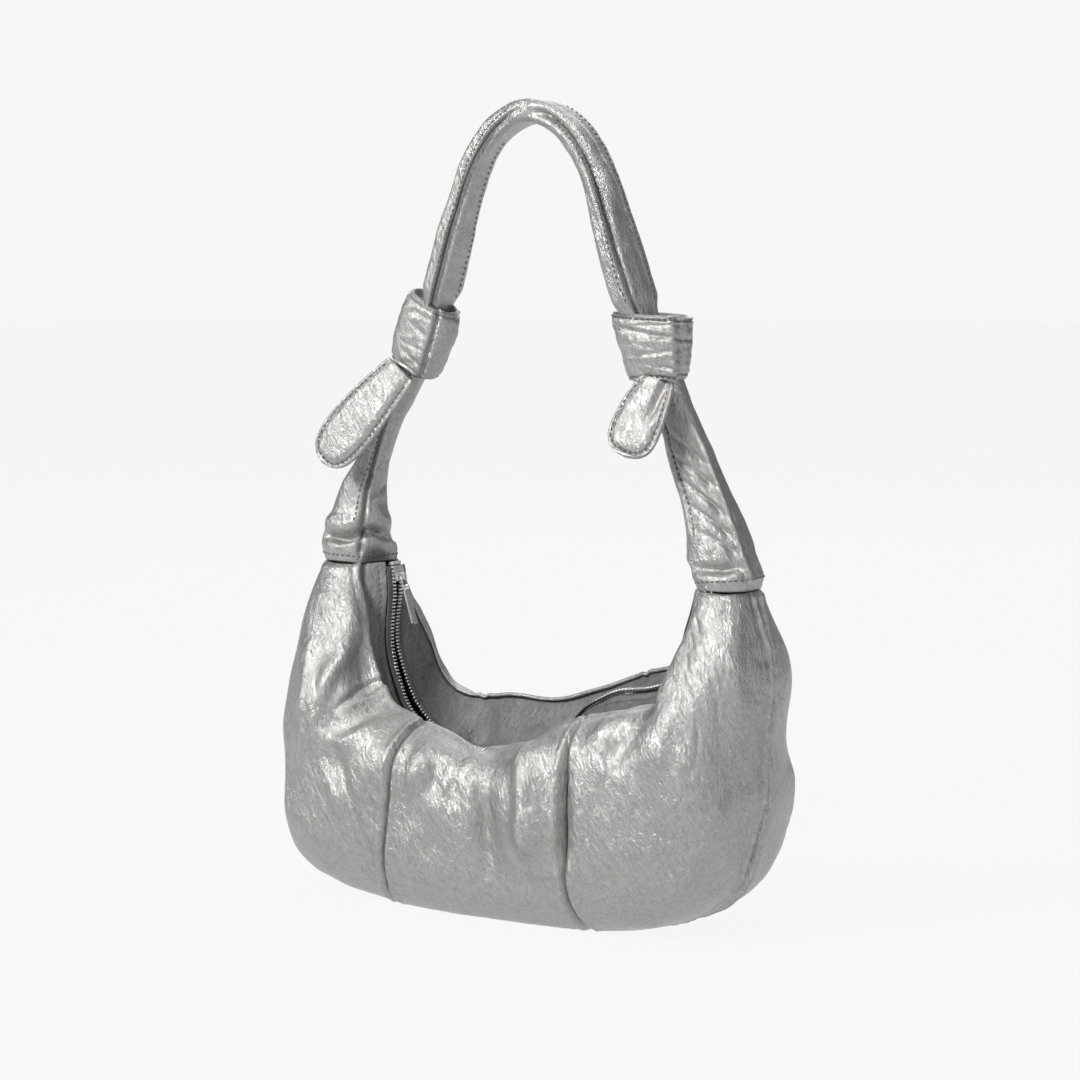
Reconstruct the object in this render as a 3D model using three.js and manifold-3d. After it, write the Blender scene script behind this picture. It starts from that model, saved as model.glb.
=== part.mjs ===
// A slouchy hobo shoulder bag in millimetres: +X to its right, +Y to its back, +Z up, origin under the
// middle of the base. Six leather panels and a lining make the body, a curved zip closes the mouth
// between two horns, and a knotted shoulder strap rises from the horns.
import * as THREE from "three";
import { mergeVertices } from "three/addons/utils/BufferGeometryUtils.js";
import Module from "manifold-3d";

const wasm = await Module();
wasm.setup();

// Driving dimensions
const LEATHER = 2.2; // a panel's doubled leather
const SEAM_GAP = 0.3; // between two pieces that are sewn or pressed together
const ZIP_RADIUS = 103; // the zip's curve across the mouth
const ZIP_CENTRE_X = 6; // the zip hangs a little to the right
const ARC_HEIGHT = 201; // the centre of that curve, above the base
const MOUTH_HINGE_HEIGHT = 188; // the lips of the mouth swing about this line, between the horns
const MOUTH_REST_DEG = 3.43; // how far each lip hangs open at rest
const HORN_ANGLE = 7; // where a panel ends, at the horn seam
const PANEL_SEAM_ANGLE = 60; // the seam between an end panel and a middle panel
const FOLD_AXIS_HEIGHT = 210; // the strap folds down about this line
const FOLD_RADIUS = 13; // the rounded lower end of a riser
const SLIDER_ANGLE = 11; // where the zip slider is parked, at the left end
const CHAIN_FROM = 8.8; // where the zip's chain starts, beside its bottom stop
const CHAIN_TO = 161; // where it ends, inside the right horn, beside the top stops
const TAPE_TO = 171.2; // the tape and the plackets run on into the right horn
const BOTTOM_STOP_ANGLE = 7.2;
const TOOTH_COUNT = 41; // toothed steps along one side of the chain
const CHAIN_THICKNESS = 2.2;

// Sections of the bag, from a horn to the middle: angle round the mouth, where the section reaches the
// seam round the edge (x, z), greatest half depth, half width of the rim, and squareness of the base.
const STATIONS = [
  [7, 148, 188, 20, 14, 1],
  [17, 158, 146, 36, 19, 0.92],
  [28, 161, 105, 48, 23, 0.84],
  [38, 161, 62, 56, 26, 0.76],
  [46, 151, 22, 60, 28, 0.7],
  [53, 117, 4, 63, 30, 0.64],
  [60, 66, -5, 64, 32, 0.6],
  [75, 30, -7, 64, 32, 0.6],
  [90, 0, -7, 64, 32, 0.6],
];
const [EDGE_X, EDGE_Z, HALF_DEPTH, RIM_HALF_WIDTH, SQUARENESS] = [1, 2, 3, 4, 5];
// The rims as they hang: angle, x, z. The front rim is pinched at the foot of the right horn.
const FRONT_RIM = [
  [7, -109, 188.4],
  [12, -107.5, 180],
  [17, -104, 169],
  [24, -99.5, 155],
  [32, -92.5, 141],
  [41, -84.4, 126],
  [49, -76, 113.5],
  [60, -53.5, 104.5],
  [70, -34, 99.5],
  [80, -15.5, 94],
  [94, 8.6, 98.1],
  [107, 29.5, 105.5],
  [120, 54, 117],
  [132, 78, 122],
  [142, 94, 126.5],
  [148, 99.5, 132],
  [155, 102, 146],
  [160, 105, 156],
  [166, 109, 169],
  [173, 110, 188.4],
];
const BACK_RIM = [
  [7, -102, 188.4],
  [17, -95, 168],
  [28, -88, 150],
  [38, -82, 136],
  [47, -78, 121],
  [53, -71, 112],
  [60, -56, 110],
  [72, -38, 113],
  [83, -14, 112],
  [90, 0, 114],
  [104, 25, 122],
  [120, 53, 133],
  [135, 74, 139],
  [147, 92, 150],
  [160, 104, 166],
  [173, 108, 188.4],
];
const [RIM_X, RIM_Z] = [1, 2];
// How far out the filled bag reaches, as a share of the stations' edge x: angle, left end, right end.
const FILLED_SHARE = [
  [7, 0.955, 0.96],
  [17, 0.935, 0.975],
  [28, 0.945, 0.93],
  [38, 0.945, 0.908],
  [46, 0.955, 0.87],
  [53, 1, 0.86],
  [60, 1, 0.93],
  [90, 1, 1],
];
const [LEFT_SHARE, RIGHT_SHARE] = [1, 2];
const SIDE_FULLNESS = 0.75; // below 1 the front and back are flatter than an ellipse

const radians = THREE.MathUtils.degToRad;
const bag = new THREE.Group();

const MATERIALS = {
  leather: { color: 0xa4a39e, roughness: 0.42, metalness: 0.55 },
  metal: { color: 0xc9c9c6, roughness: 0.25, metalness: 1 },
  tape: { color: 0x77767a, roughness: 0.85, metalness: 0 },
  lining: { color: 0x5d5a57, roughness: 0.9, metalness: 0 },
};

function addPiece(name, material, geometry, parent = bag) {
  const mesh = new THREE.Mesh(geometry, new THREE.MeshStandardMaterial(MATERIALS[material]));
  mesh.name = name;
  parent.add(mesh);
  return mesh;
}

// Closed meshes from points

function closedGeometry(points, faces) {
  let volume = 0;
  for (const [a, b, c] of faces) {
    volume += points[a].dot(new THREE.Vector3().crossVectors(points[b], points[c]));
  }
  const index = faces.flatMap(([a, b, c]) => (volume > 0 ? [a, b, c] : [a, c, b]));
  const geometry = new THREE.BufferGeometry().setFromPoints(points);
  geometry.setIndex(index);
  geometry.computeVertexNormals();
  return geometry;
}

function quad(a, b, c, d) {
  return [
    [a, b, c],
    [a, c, d],
  ];
}

// A skin between two grids of points, grid[row][column], with walls round its edge.
function skinBetween(outer, inner) {
  const rows = outer.length;
  const columns = outer[0].length;
  const half = rows * columns;
  const at = (row, column) => row * columns + column;
  const faces = [];
  for (let row = 0; row + 1 < rows; row++) {
    for (let column = 0; column + 1 < columns; column++) {
      const corners = [at(row, column), at(row, column + 1), at(row + 1, column + 1), at(row + 1, column)];
      faces.push(...quad(...corners));
      faces.push(...quad(...corners.map((i) => i + half).reverse()));
    }
  }
  const border = [];
  for (let column = 0; column < columns - 1; column++) border.push(at(0, column));
  for (let row = 0; row < rows - 1; row++) border.push(at(row, columns - 1));
  for (let column = columns - 1; column > 0; column--) border.push(at(rows - 1, column));
  for (let row = rows - 1; row > 0; row--) border.push(at(row, 0));
  border.forEach((here, i) => {
    const next = border[(i + 1) % border.length];
    faces.push(...quad(next, here, here + half, next + half));
  });
  return closedGeometry([...outer.flat(), ...inner.flat()], faces);
}

// A solid through rings of points, with a fan over each end, or joined end to end when looped.
function loft(rings, looped = false) {
  const sides = rings[0].length;
  const points = rings.flat();
  const faces = [];
  const steps = looped ? rings.length : rings.length - 1;
  for (let ring = 0; ring < steps; ring++) {
    const from = ring * sides;
    const to = ((ring + 1) % rings.length) * sides;
    for (let side = 0; side < sides; side++) {
      const next = (side + 1) % sides;
      faces.push(...quad(from + side, from + next, to + next, to + side));
    }
  }
  if (!looped) {
    const last = (rings.length - 1) * sides;
    for (let side = 1; side + 1 < sides; side++) {
      faces.push([0, side + 1, side]);
      faces.push([last, last + side, last + side + 1]);
    }
  }
  return closedGeometry(points, faces);
}

// A rounded oblong ring about a centre, width along u and thickness along v.
function oblong(centre, u, v, width, thickness, sides = 16, roundness = 0.6) {
  return Array.from({ length: sides }, (_, i) => {
    const angle = ((i + 0.5) / sides) * 2 * Math.PI;
    const along = Math.sign(Math.cos(angle)) * Math.abs(Math.cos(angle)) ** roundness;
    const across = Math.sign(Math.sin(angle)) * Math.abs(Math.sin(angle)) ** roundness;
    return centre
      .clone()
      .addScaledVector(u, (along * width) / 2)
      .addScaledVector(v, (across * thickness) / 2);
  });
}

// The body's surface

// A smooth curve through rows that start with an angle.
function valueThrough(rows, column, angle) {
  let i = 0;
  while (i + 2 < rows.length && rows[i + 1][0] < angle) i++;
  const slope = (k) => {
    const before = rows[Math.max(k - 1, 0)];
    const after = rows[Math.min(k + 1, rows.length - 1)];
    return (after[column] - before[column]) / (after[0] - before[0]);
  };
  const [from, to] = [rows[i], rows[i + 1]];
  const span = to[0] - from[0];
  const t = (angle - from[0]) / span;
  const [t2, t3] = [t * t, t * t * t];
  return (
    (2 * t3 - 3 * t2 + 1) * from[column] +
    (t3 - 2 * t2 + t) * span * slope(i) +
    (-2 * t3 + 3 * t2) * to[column] +
    (t3 - t2) * span * slope(i + 1)
  );
}

function stationValue(angle, column) {
  return valueThrough(STATIONS, column, Math.min(angle, 180 - angle));
}

function rimPoint(angle, side) {
  const rim = side < 0 ? FRONT_RIM : BACK_RIM;
  return new THREE.Vector3(valueThrough(rim, RIM_X, angle), 0, valueThrough(rim, RIM_Z, angle));
}

function edgePoint(angle) {
  const right = angle > 90;
  const share = valueThrough(FILLED_SHARE, right ? RIGHT_SHARE : LEFT_SHARE, Math.min(angle, 180 - angle));
  const x = stationValue(angle, EDGE_X) * share * (right ? 1 : -1);
  return new THREE.Vector3(x, 0, stationValue(angle, EDGE_Z));
}

function arcPoint(angle, radius, y = 0) {
  const a = radians(angle);
  return new THREE.Vector3(ZIP_CENTRE_X - radius * Math.cos(a), y, ARC_HEIGHT - radius * Math.sin(a));
}

// How far down a section a point lies, 0 at the top and 1 at the edge seam.
function sectionDepth(turn, squareness) {
  return 0.5 * (1 - Math.sign(Math.cos(turn)) * Math.abs(Math.cos(turn)) ** squareness);
}

// side is -1 for the front and 1 for the back; down runs from the rim (0) to the edge seam (1).
function surfacePoint(angle, down, side) {
  const rim = rimPoint(angle, side);
  const edge = edgePoint(angle);
  const depth = stationValue(angle, HALF_DEPTH);
  const start = Math.asin((stationValue(angle, RIM_HALF_WIDTH) / depth) ** (1 / SIDE_FULLNESS));
  const turn = start + (Math.PI - start) * down;
  const squareness = stationValue(angle, SQUARENESS);
  const top = sectionDepth(start, squareness);
  const part = (sectionDepth(turn, squareness) - top) / (1 - top);
  const point = rim.lerp(edge, part);
  point.y = side * depth * Math.max(Math.sin(turn), 0) ** SIDE_FULLNESS;
  point.z = Math.max(point.z, 0);
  return point;
}

function surfaceNormal(angle, down, side) {
  const [da, dd] = [0.05, 0.002];
  const [low, high] = [Math.max(down - dd, 0), Math.min(down + dd, 1)];
  const round = surfacePoint(angle + da, down, side).sub(surfacePoint(angle - da, down, side));
  const fall = surfacePoint(angle, high, side).sub(surfacePoint(angle, low, side));
  return round.cross(fall).normalize().multiplyScalar(side);
}

function insetPoint(angle, down, side, inset) {
  const point = surfacePoint(angle, down, side);
  point.addScaledVector(surfaceNormal(angle, down, side), -inset);
  point.z = Math.max(point.z, inset);
  point.y = side * Math.max(side * point.y, SEAM_GAP / 2);
  return point;
}

function shell({ from, to, top = 0, bottom = 1, side, inset = 0, thickness, columns, rows }) {
  const grid = (depth) =>
    Array.from({ length: rows + 1 }, (_, row) =>
      Array.from({ length: columns + 1 }, (_, column) =>
        insetPoint(
          from + ((to - from) * column) / columns,
          top + ((bottom - top) * row) / rows,
          side,
          depth,
        ),
      ),
    );
  return skinBetween(grid(inset), grid(inset + thickness));
}

// Body panels: left, middle and right, front and back

const HALF_SEAM_DEG = 0.1; // half the gap at a panel seam, round the mouth
const PANELS = [
  ["left", HORN_ANGLE, PANEL_SEAM_ANGLE - HALF_SEAM_DEG],
  ["centre", PANEL_SEAM_ANGLE + HALF_SEAM_DEG, 180 - PANEL_SEAM_ANGLE - HALF_SEAM_DEG],
  ["right", 180 - PANEL_SEAM_ANGLE + HALF_SEAM_DEG, 180 - HORN_ANGLE],
];
const FACES = [
  ["front", -1],
  ["back", 1],
];

function addPanels() {
  for (const [face, side] of FACES) {
    for (const [place, from, to] of PANELS) {
      const geometry = shell({ from, to, side, thickness: LEATHER, columns: 14, rows: 12 });
      addPiece(`${face}_panel_${place}`, "leather", geometry);
    }
  }
}

// Lining and inner slip pocket

const LINING_INSET = LEATHER + 3.4; // the lining hangs a little loose
const LINING_THICKNESS = 0.8;
const POCKET_INSET = LINING_INSET + LINING_THICKNESS + 1.6;

function addLining() {
  for (const [face, side] of FACES) {
    const geometry = shell({
      from: 17,
      to: 163,
      top: 0.06,
      bottom: 0.93,
      side,
      inset: LINING_INSET,
      thickness: LINING_THICKNESS,
      columns: 30,
      rows: 10,
    });
    addPiece(`lining_${face}`, "lining", geometry);
  }
  const pocket = shell({
    from: 72,
    to: 108,
    top: 0.3,
    bottom: 0.62,
    side: 1,
    inset: POCKET_INSET,
    thickness: LINING_THICKNESS,
    columns: 6,
    rows: 4,
  });
  addPiece("inner_slip_pocket", "lining", pocket);
}

// Strap roots: the solid wedges that close the horns

const ROOT_BASE = MOUTH_HINGE_HEIGHT + 1; // 0.3 or more above the panels' top edges
const ROOT_TOP = FOLD_AXIS_HEIGHT - FOLD_RADIUS - 0.8;
const ROOT_STEPS = 7;

function rootRing(sign, height, shrink) {
  const angle = sign < 0 ? HORN_ANGLE : 180 - HORN_ANGLE;
  const ring = [];
  for (const [, side] of FACES) {
    for (let i = 0; i <= ROOT_STEPS; i++) {
      const down = side < 0 ? i / ROOT_STEPS : 1 - i / ROOT_STEPS;
      const point = insetPoint(angle, down, side, 0);
      point.z = height;
      ring.push(point);
    }
  }
  const middle = ring.reduce((sum, p) => sum.add(p), new THREE.Vector3()).divideScalar(ring.length);
  return ring.map((p) => p.lerp(middle, shrink));
}

function addStrapRoot(name, sign) {
  const rings = [rootRing(sign, ROOT_BASE, 0), rootRing(sign, ROOT_TOP, 0.12)];
  addPiece(name, "leather", loft(rings));
}

// Strips that follow the zip's curve

// corners(angle) gives the strip's section as [height above the curve, y] pairs.
function curvedStrip(from, to, steps, corners) {
  const rings = Array.from({ length: steps + 1 }, (_, i) => {
    const angle = from + ((to - from) * i) / steps;
    return corners(angle).map(([height, y]) => arcPoint(angle, ZIP_RADIUS - height, y));
  });
  return loft(rings);
}

function boxSection(low, high, near, far) {
  return [
    [low, near],
    [high, near],
    [high, far],
    [low, far],
  ];
}

// The mouth's lips, drawn closed and then swung open: teeth, tape and leather placket

const TEETH_NEAR = 1.6; // from the middle of the mouth, when it is shut
const [TOOTH_STARTS, TOOTH_ENDS] = [0.3, 0.7]; // as shares of the pitch
const TEETH_ROOT = 3.3;
const TEETH_FAR = 4.4;
const TAPE_NEAR = TEETH_FAR + SEAM_GAP;
const TAPE_FAR = 7;
const TAPE_THICKNESS = 0.8;
const PLACKET_NEAR = TAPE_FAR + SEAM_GAP;
const PLACKET_THICKNESS = 1.6;
const PLACKET_AT_HORN = 9.2;
const PLACKET_AT_MIDDLE = 14;
const STRIP_STEPS = 30;

function teethRow(side) {
  const half = CHAIN_THICKNESS / 2;
  const rings = [];
  const pitch = (CHAIN_TO - CHAIN_FROM) / TOOTH_COUNT;
  const ringAt = (angle, near) =>
    boxSection(-half, half, side * near, side * TEETH_FAR).map(([height, y]) =>
      arcPoint(angle, ZIP_RADIUS - height, y),
    );
  for (let tooth = 0; tooth < TOOTH_COUNT; tooth++) {
    const start = CHAIN_FROM + tooth * pitch;
    rings.push(ringAt(start, TEETH_ROOT));
    rings.push(ringAt(start + TOOTH_STARTS * pitch, TEETH_NEAR));
    rings.push(ringAt(start + TOOTH_ENDS * pitch, TEETH_NEAR));
  }
  rings.push(ringAt(CHAIN_TO, TEETH_ROOT));
  return loft(rings);
}

function placketFar(angle) {
  const part = Math.min(Math.sin(radians(angle)) * 1.35, 1);
  return PLACKET_AT_HORN + (PLACKET_AT_MIDDLE - PLACKET_AT_HORN) * part;
}

const STOP_LENGTH_DEG = 0.9;
const STOP_HALF_HEIGHT = 1.5;

function addLip(face, side) {
  const group = new THREE.Group();
  group.position.z = MOUTH_HINGE_HEIGHT;
  group.rotation.x = side * radians(MOUTH_REST_DEG);
  bag.add(group);
  const add = (name, material, geometry) => {
    geometry.translate(0, 0, -MOUTH_HINGE_HEIGHT);
    addPiece(name, material, geometry, group);
  };
  const [from, to] = [CHAIN_FROM, TAPE_TO];
  const tape = () => boxSection(-TAPE_THICKNESS / 2, TAPE_THICKNESS / 2, side * TAPE_NEAR, side * TAPE_FAR);
  const placket = (angle) =>
    boxSection(
      -PLACKET_THICKNESS / 2,
      PLACKET_THICKNESS / 2,
      side * PLACKET_NEAR,
      side * placketFar(angle),
    );
  const stop = () => boxSection(-STOP_HALF_HEIGHT, STOP_HALF_HEIGHT, side * TEETH_NEAR, side * TEETH_FAR);
  const stopFrom = CHAIN_TO + 0.2;
  add(`${face}_zip_teeth`, "metal", teethRow(side));
  add(`${face}_zip_tape`, "tape", curvedStrip(from, to, STRIP_STEPS, tape));
  add(`${face}_placket`, "leather", curvedStrip(from, to, STRIP_STEPS, placket));
  add(`${face}_top_stop`, "metal", curvedStrip(stopFrom, stopFrom + STOP_LENGTH_DEG, 1, stop));
}

const BOTTOM_STOP_HALF_WIDTH = 4;

function addBottomStop() {
  const section = () =>
    boxSection(-STOP_HALF_HEIGHT, STOP_HALF_HEIGHT, -BOTTOM_STOP_HALF_WIDTH, BOTTOM_STOP_HALF_WIDTH);
  const end = BOTTOM_STOP_ANGLE + STOP_LENGTH_DEG;
  addPiece("zip_bottom_stop", "metal", curvedStrip(BOTTOM_STOP_ANGLE, end, 1, section));
}

// Zip slider and its pull, in a frame at the chain: x along it, z out of the bag

const SLIDER_LENGTH = 9;
const SLIDER_HALF_WIDTH = 4.2;
const PLATE_INNER = 1.7; // from the chain's middle to a plate
const PLATE_OUTER = 2.7;
const NECK_HALF_WIDTH = 1.1;
const BRIDGE_HALF_WIDTH = 1.2;
const LINK_WIRE_RADIUS = 0.6;
const LINK_LENGTH = 6.8; // along the middle of the wire
const LINK_WIDTH = 4.3;
const LINK_CORNER_RADIUS = 1.4;
const LINK_PIVOT = new THREE.Vector3(2, 0, 4.1);
const PULL_TILT_DEG = 6; // the pull leans out over the chain
const TAB_LENGTH = 22;
const TAB_HALF_WIDTH = 2.25;
const TAB_THICKNESS = 1.3;
const TAB_PLATE_START = 1.8;
const TAB_CROSSBAR = 1.4; // joins the plate to the knuckle
const TAB_SLOT_HALF_WIDTH = 0.9;
const TAB_SLOT_LENGTH = 4.5;
const TAB_SLOT_END = 2; // from the tab's tip
const KNUCKLE_RADIUS = 1.5;
const KNUCKLE_HOLE_RADIUS = 0.9;

function shapeOf(points) {
  return new THREE.Shape(points.map(([x, y]) => new THREE.Vector2(x, y)));
}

function extruded(shape, depth, curveSegments = 6) {
  return new THREE.ExtrudeGeometry(shape, { depth, bevelEnabled: false, curveSegments });
}

// An extrusion of an (x, z) outline, centred on y = 0.
function extrudedAlongY(shape, width) {
  const geometry = extruded(shape, width);
  geometry.rotateX(Math.PI / 2);
  geometry.translate(0, width / 2, 0);
  return geometry;
}

function sliderBody() {
  const [w, n, a, b] = [SLIDER_HALF_WIDTH, NECK_HALF_WIDTH, PLATE_INNER, PLATE_OUTER];
  const profile = shapeOf([
    [-w, -b],
    [w, -b],
    [w, -a],
    [n, -a],
    [n, a],
    [w, a],
    [w, b],
    [-w, b],
    [-w, a],
    [-n, a],
    [-n, -a],
    [-w, -a],
  ]);
  const geometry = extruded(profile, SLIDER_LENGTH);
  geometry.rotateX(Math.PI / 2);
  geometry.rotateZ(Math.PI / 2);
  geometry.translate(-SLIDER_LENGTH / 2, 0, 0);
  return geometry;
}

function sliderBridge() {
  const foot = PLATE_OUTER + SEAM_GAP;
  const x = LINK_PIVOT.x;
  const profile = shapeOf([
    [x - 2.4, foot],
    [x - 1.3, foot],
    [x - 1.1, LINK_PIVOT.z + 1],
    [x + 1.1, LINK_PIVOT.z + 1],
    [x + 1.3, foot],
    [x + 2.4, foot],
    [x + 1.9, LINK_PIVOT.z + 1.9],
    [x - 1.9, LINK_PIVOT.z + 1.9],
  ]);
  return extrudedAlongY(profile, 2 * BRIDGE_HALF_WIDTH);
}

// The oval link: straight at both ends, where it passes through the bridge and the tab.
function pullLink() {
  const corner = LINK_CORNER_RADIUS;
  const centres = [];
  const [l, w] = [LINK_LENGTH, LINK_WIDTH / 2];
  const corners = [
    [corner, w - corner, 90],
    [corner, corner - w, 180],
    [l - corner, corner - w, 270],
    [l - corner, w - corner, 0],
  ];
  for (const [x, y, start] of corners) {
    for (let i = 0; i <= 3; i++) {
      const a = radians(start + i * 30);
      const out = new THREE.Vector3(Math.cos(a), Math.sin(a), 0);
      centres.push([new THREE.Vector3(x, y, 0).addScaledVector(out, corner), out]);
    }
  }
  const up = new THREE.Vector3(0, 0, 1);
  const rings = centres.map(([centre, out]) =>
    Array.from({ length: 6 }, (_, k) => {
      const a = (k / 6) * 2 * Math.PI;
      return centre
        .clone()
        .addScaledVector(out, LINK_WIRE_RADIUS * Math.cos(a))
        .addScaledVector(up, LINK_WIRE_RADIUS * Math.sin(a));
    }),
  );
  return loft(rings, true);
}

function toSolid(geometry) {
  const bare = geometry.index ? geometry.toNonIndexed() : geometry.clone();
  bare.deleteAttribute("normal");
  bare.deleteAttribute("uv");
  const merged = mergeVertices(bare, 1e-4);
  return new wasm.Manifold(
    new wasm.Mesh({
      numProp: 3,
      vertProperties: merged.attributes.position.array,
      triVerts: new Uint32Array(merged.index.array),
    }),
  );
}

function toGeometry(solid) {
  const mesh = solid.getMesh();
  const geometry = new THREE.BufferGeometry();
  geometry.setAttribute("position", new THREE.BufferAttribute(new Float32Array(mesh.vertProperties), 3));
  geometry.setIndex(new THREE.BufferAttribute(new Uint32Array(mesh.triVerts), 1));
  geometry.computeVertexNormals();
  return geometry;
}

function circlePath(radius) {
  return new THREE.Path().absarc(0, 0, radius, 0, 2 * Math.PI, false);
}

// A flat bar with a slot near its free end and a knuckle that turns on the link; x = 0 is the pivot.
function pullTab() {
  const [start, end, w] = [TAB_PLATE_START, TAB_LENGTH, TAB_HALF_WIDTH];
  const plate = shapeOf([
    [start, -w],
    [end - 1, -w],
    [end, 1 - w],
    [end, w - 1],
    [end - 1, w],
    [start, w],
  ]);
  const slotEnd = end - TAB_SLOT_END;
  const slotStart = slotEnd - TAB_SLOT_LENGTH;
  const slot = [
    [slotStart, -TAB_SLOT_HALF_WIDTH],
    [slotStart, TAB_SLOT_HALF_WIDTH],
    [slotEnd, TAB_SLOT_HALF_WIDTH],
    [slotEnd, -TAB_SLOT_HALF_WIDTH],
  ];
  plate.holes.push(new THREE.Path(slot.map(([x, y]) => new THREE.Vector2(x, y))));
  const bar = extruded(plate, TAB_THICKNESS);
  bar.translate(0, 0, -TAB_THICKNESS / 2);
  const eye = new THREE.Shape().absarc(0, 0, KNUCKLE_RADIUS, 0, 2 * Math.PI, false);
  eye.holes.push(circlePath(KNUCKLE_HOLE_RADIUS));
  const knuckle = extrudedAlongY(eye, 2 * BRIDGE_HALF_WIDTH);
  const bridge = new THREE.BoxGeometry(TAB_CROSSBAR, 2 * BRIDGE_HALF_WIDTH, TAB_THICKNESS);
  bridge.translate(TAB_PLATE_START, 0, 0);
  return toGeometry(toSolid(bar).add(toSolid(knuckle)).add(toSolid(bridge)));
}

function addSlider() {
  const a = radians(SLIDER_ANGLE);
  const along = new THREE.Vector3(Math.sin(a), 0, -Math.cos(a));
  const out = new THREE.Vector3(Math.cos(a), 0, Math.sin(a));
  const frame = new THREE.Group();
  frame.setRotationFromMatrix(new THREE.Matrix4().makeBasis(along, new THREE.Vector3(0, 1, 0), out));
  frame.position.copy(arcPoint(SLIDER_ANGLE, ZIP_RADIUS));
  bag.add(frame);
  addPiece("zip_slider", "metal", sliderBody(), frame);
  addPiece("slider_bridge", "metal", sliderBridge(), frame);
  const pull = new THREE.Group();
  pull.position.copy(LINK_PIVOT);
  pull.rotation.y = -radians(PULL_TILT_DEG);
  frame.add(pull);
  addPiece("pull_link", "metal", pullLink(), pull);
  const tab = new THREE.Group();
  tab.position.x = LINK_LENGTH;
  pull.add(tab);
  addPiece("pull_tab", "metal", pullTab(), tab);
}

// Strap: risers, knots and the shoulder band, along one line from horn to horn

// Stations of a riser: x, z, lean from upright in degrees, width, thickness.
const RISER_BOTTOM_STEPS = [12, 32, 52, 72];
const RISER_STATIONS = [
  [121, 210, 0, 33, 2 * FOLD_RADIUS],
  [118.5, 218, 5, 32, 23],
  [115.5, 229, 12, 25, 19],
  [111, 241, 20, 20, 16],
  [106, 252, 24, 19, 15],
  [100.5, 263, 27, 19, 14],
  [94, 275, 28, 18.5, 14],
  [83.4, 296.3, 27, 18, 14],
];
const ACROSS = new THREE.Vector3(0, 1, 0);

// A section of the right-hand half of the strap; the left half mirrors it.
function strapRing(sign, [x, z, lean, width, thickness], roundness) {
  const a = radians(lean);
  const u = new THREE.Vector3(sign * Math.cos(a), 0, Math.sin(a));
  const centre = new THREE.Vector3(sign * x, 0, z);
  return oblong(centre, u, ACROSS, width, thickness, 12, roundness);
}

function addRiser(name, sign) {
  const [x, , , width] = RISER_STATIONS[0];
  const bottom = RISER_BOTTOM_STEPS.map((step) => {
    const a = radians(step);
    return [x, FOLD_AXIS_HEIGHT - FOLD_RADIUS * Math.cos(a), 0, width, 2 * FOLD_RADIUS * Math.sin(a)];
  });
  const rings = [...bottom, ...RISER_STATIONS].map((station) => strapRing(sign, station, 0.5));
  addPiece(name, "leather", loft(rings));
}

// The left knot is a tilted wrap; the right knot widens upwards.
const LEFT_KNOT = [
  [82.4, 298, 27, 24, 19],
  [80.2, 302.4, 28, 31, 25.5],
  [76.8, 312, 29, 34, 28],
  [73, 322, 29, 34.5, 28],
  [68.8, 333.5, 28, 32, 26],
  [67.6, 337, 28, 27, 22],
];
const RIGHT_KNOT = [
  [83.1, 297, 27, 19, 15],
  [80.5, 301.5, 8, 34, 26],
  [78.4, 311, 1, 38.5, 28],
  [76.6, 322, -1, 43, 29],
  [75.2, 330.5, -2, 46, 28.5],
  [74.8, 333.5, -2, 40, 24],
];

function addKnot(name, sign, stations) {
  addPiece(name, "leather", loft(stations.map((station) => strapRing(sign, station, 0.7))));
}

const BAND_WIDTH = 25; // front to back
const BAND_THICKNESS = 11.5;
const BAND_HALF_LINE = [
  [55, 368],
  [51.5, 380],
  [48, 390],
  [44, 402],
  [39.3, 413],
  [32.5, 424.5],
  [23.4, 435],
  [12, 443],
];
const BAND_STEPS = 30;

function addShoulderStrap() {
  const place = (sign, x, z) => new THREE.Vector3(sign * x, 0, z);
  const left = [[67.35, 337.7], [63, 347], [59, 357], ...BAND_HALF_LINE].map(([x, z]) => place(-1, x, z));
  const right = [[69, 337], [65.2, 345], [60.5, 355], ...BAND_HALF_LINE].map(([x, z]) => place(1, x, z));
  const line = new THREE.CatmullRomCurve3([...left, place(1, 0, 446), ...right.reverse()]);
  const rings = Array.from({ length: BAND_STEPS + 1 }, (_, i) => {
    const tangent = line.getTangentAt(i / BAND_STEPS);
    const u = new THREE.Vector3().crossVectors(ACROSS, tangent).normalize();
    return oblong(line.getPointAt(i / BAND_STEPS), u, ACROSS, BAND_THICKNESS, BAND_WIDTH, 10, 0.6);
  });
  addPiece("shoulder_strap", "leather", loft(rings));
}

// Free ends of the knots: rounded tongues that hang in front of the risers

const TONGUE_THICKNESS = 4;
const TONGUE_PROFILE = [
  [0, 0.82],
  [0.2, 0.95],
  [0.55, 1],
  [0.78, 0.97],
  [0.9, 0.78],
  [1, 0.36],
];

function addTail(name, root, tip, width) {
  const along = tip.clone().sub(root);
  const u = new THREE.Vector3(along.z, 0, -along.x).normalize();
  const v = new THREE.Vector3().crossVectors(along, u).normalize();
  const rings = TONGUE_PROFILE.map(([part, share]) =>
    oblong(root.clone().addScaledVector(along, part), u, v, width * share, TONGUE_THICKNESS, 10, 0.6),
  );
  addPiece(name, "leather", loft(rings));
}

addPanels();
addLining();
addStrapRoot("left_strap_root", -1);
addStrapRoot("right_strap_root", 1);
for (const [face, side] of FACES) addLip(face, side);
addBottomStop();
addSlider();
addRiser("left_riser", -1);
addRiser("right_riser", 1);
addKnot("left_knot", -1, LEFT_KNOT);
addKnot("right_knot", 1, RIGHT_KNOT);
addShoulderStrap();
addTail("left_tail", new THREE.Vector3(-87, -13, 293), new THREE.Vector3(-124, -31, 247), 25);
addTail("right_tail", new THREE.Vector3(86, -13, 292), new THREE.Vector3(79, -31, 257), 24);

export default bag;
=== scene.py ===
import math

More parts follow.
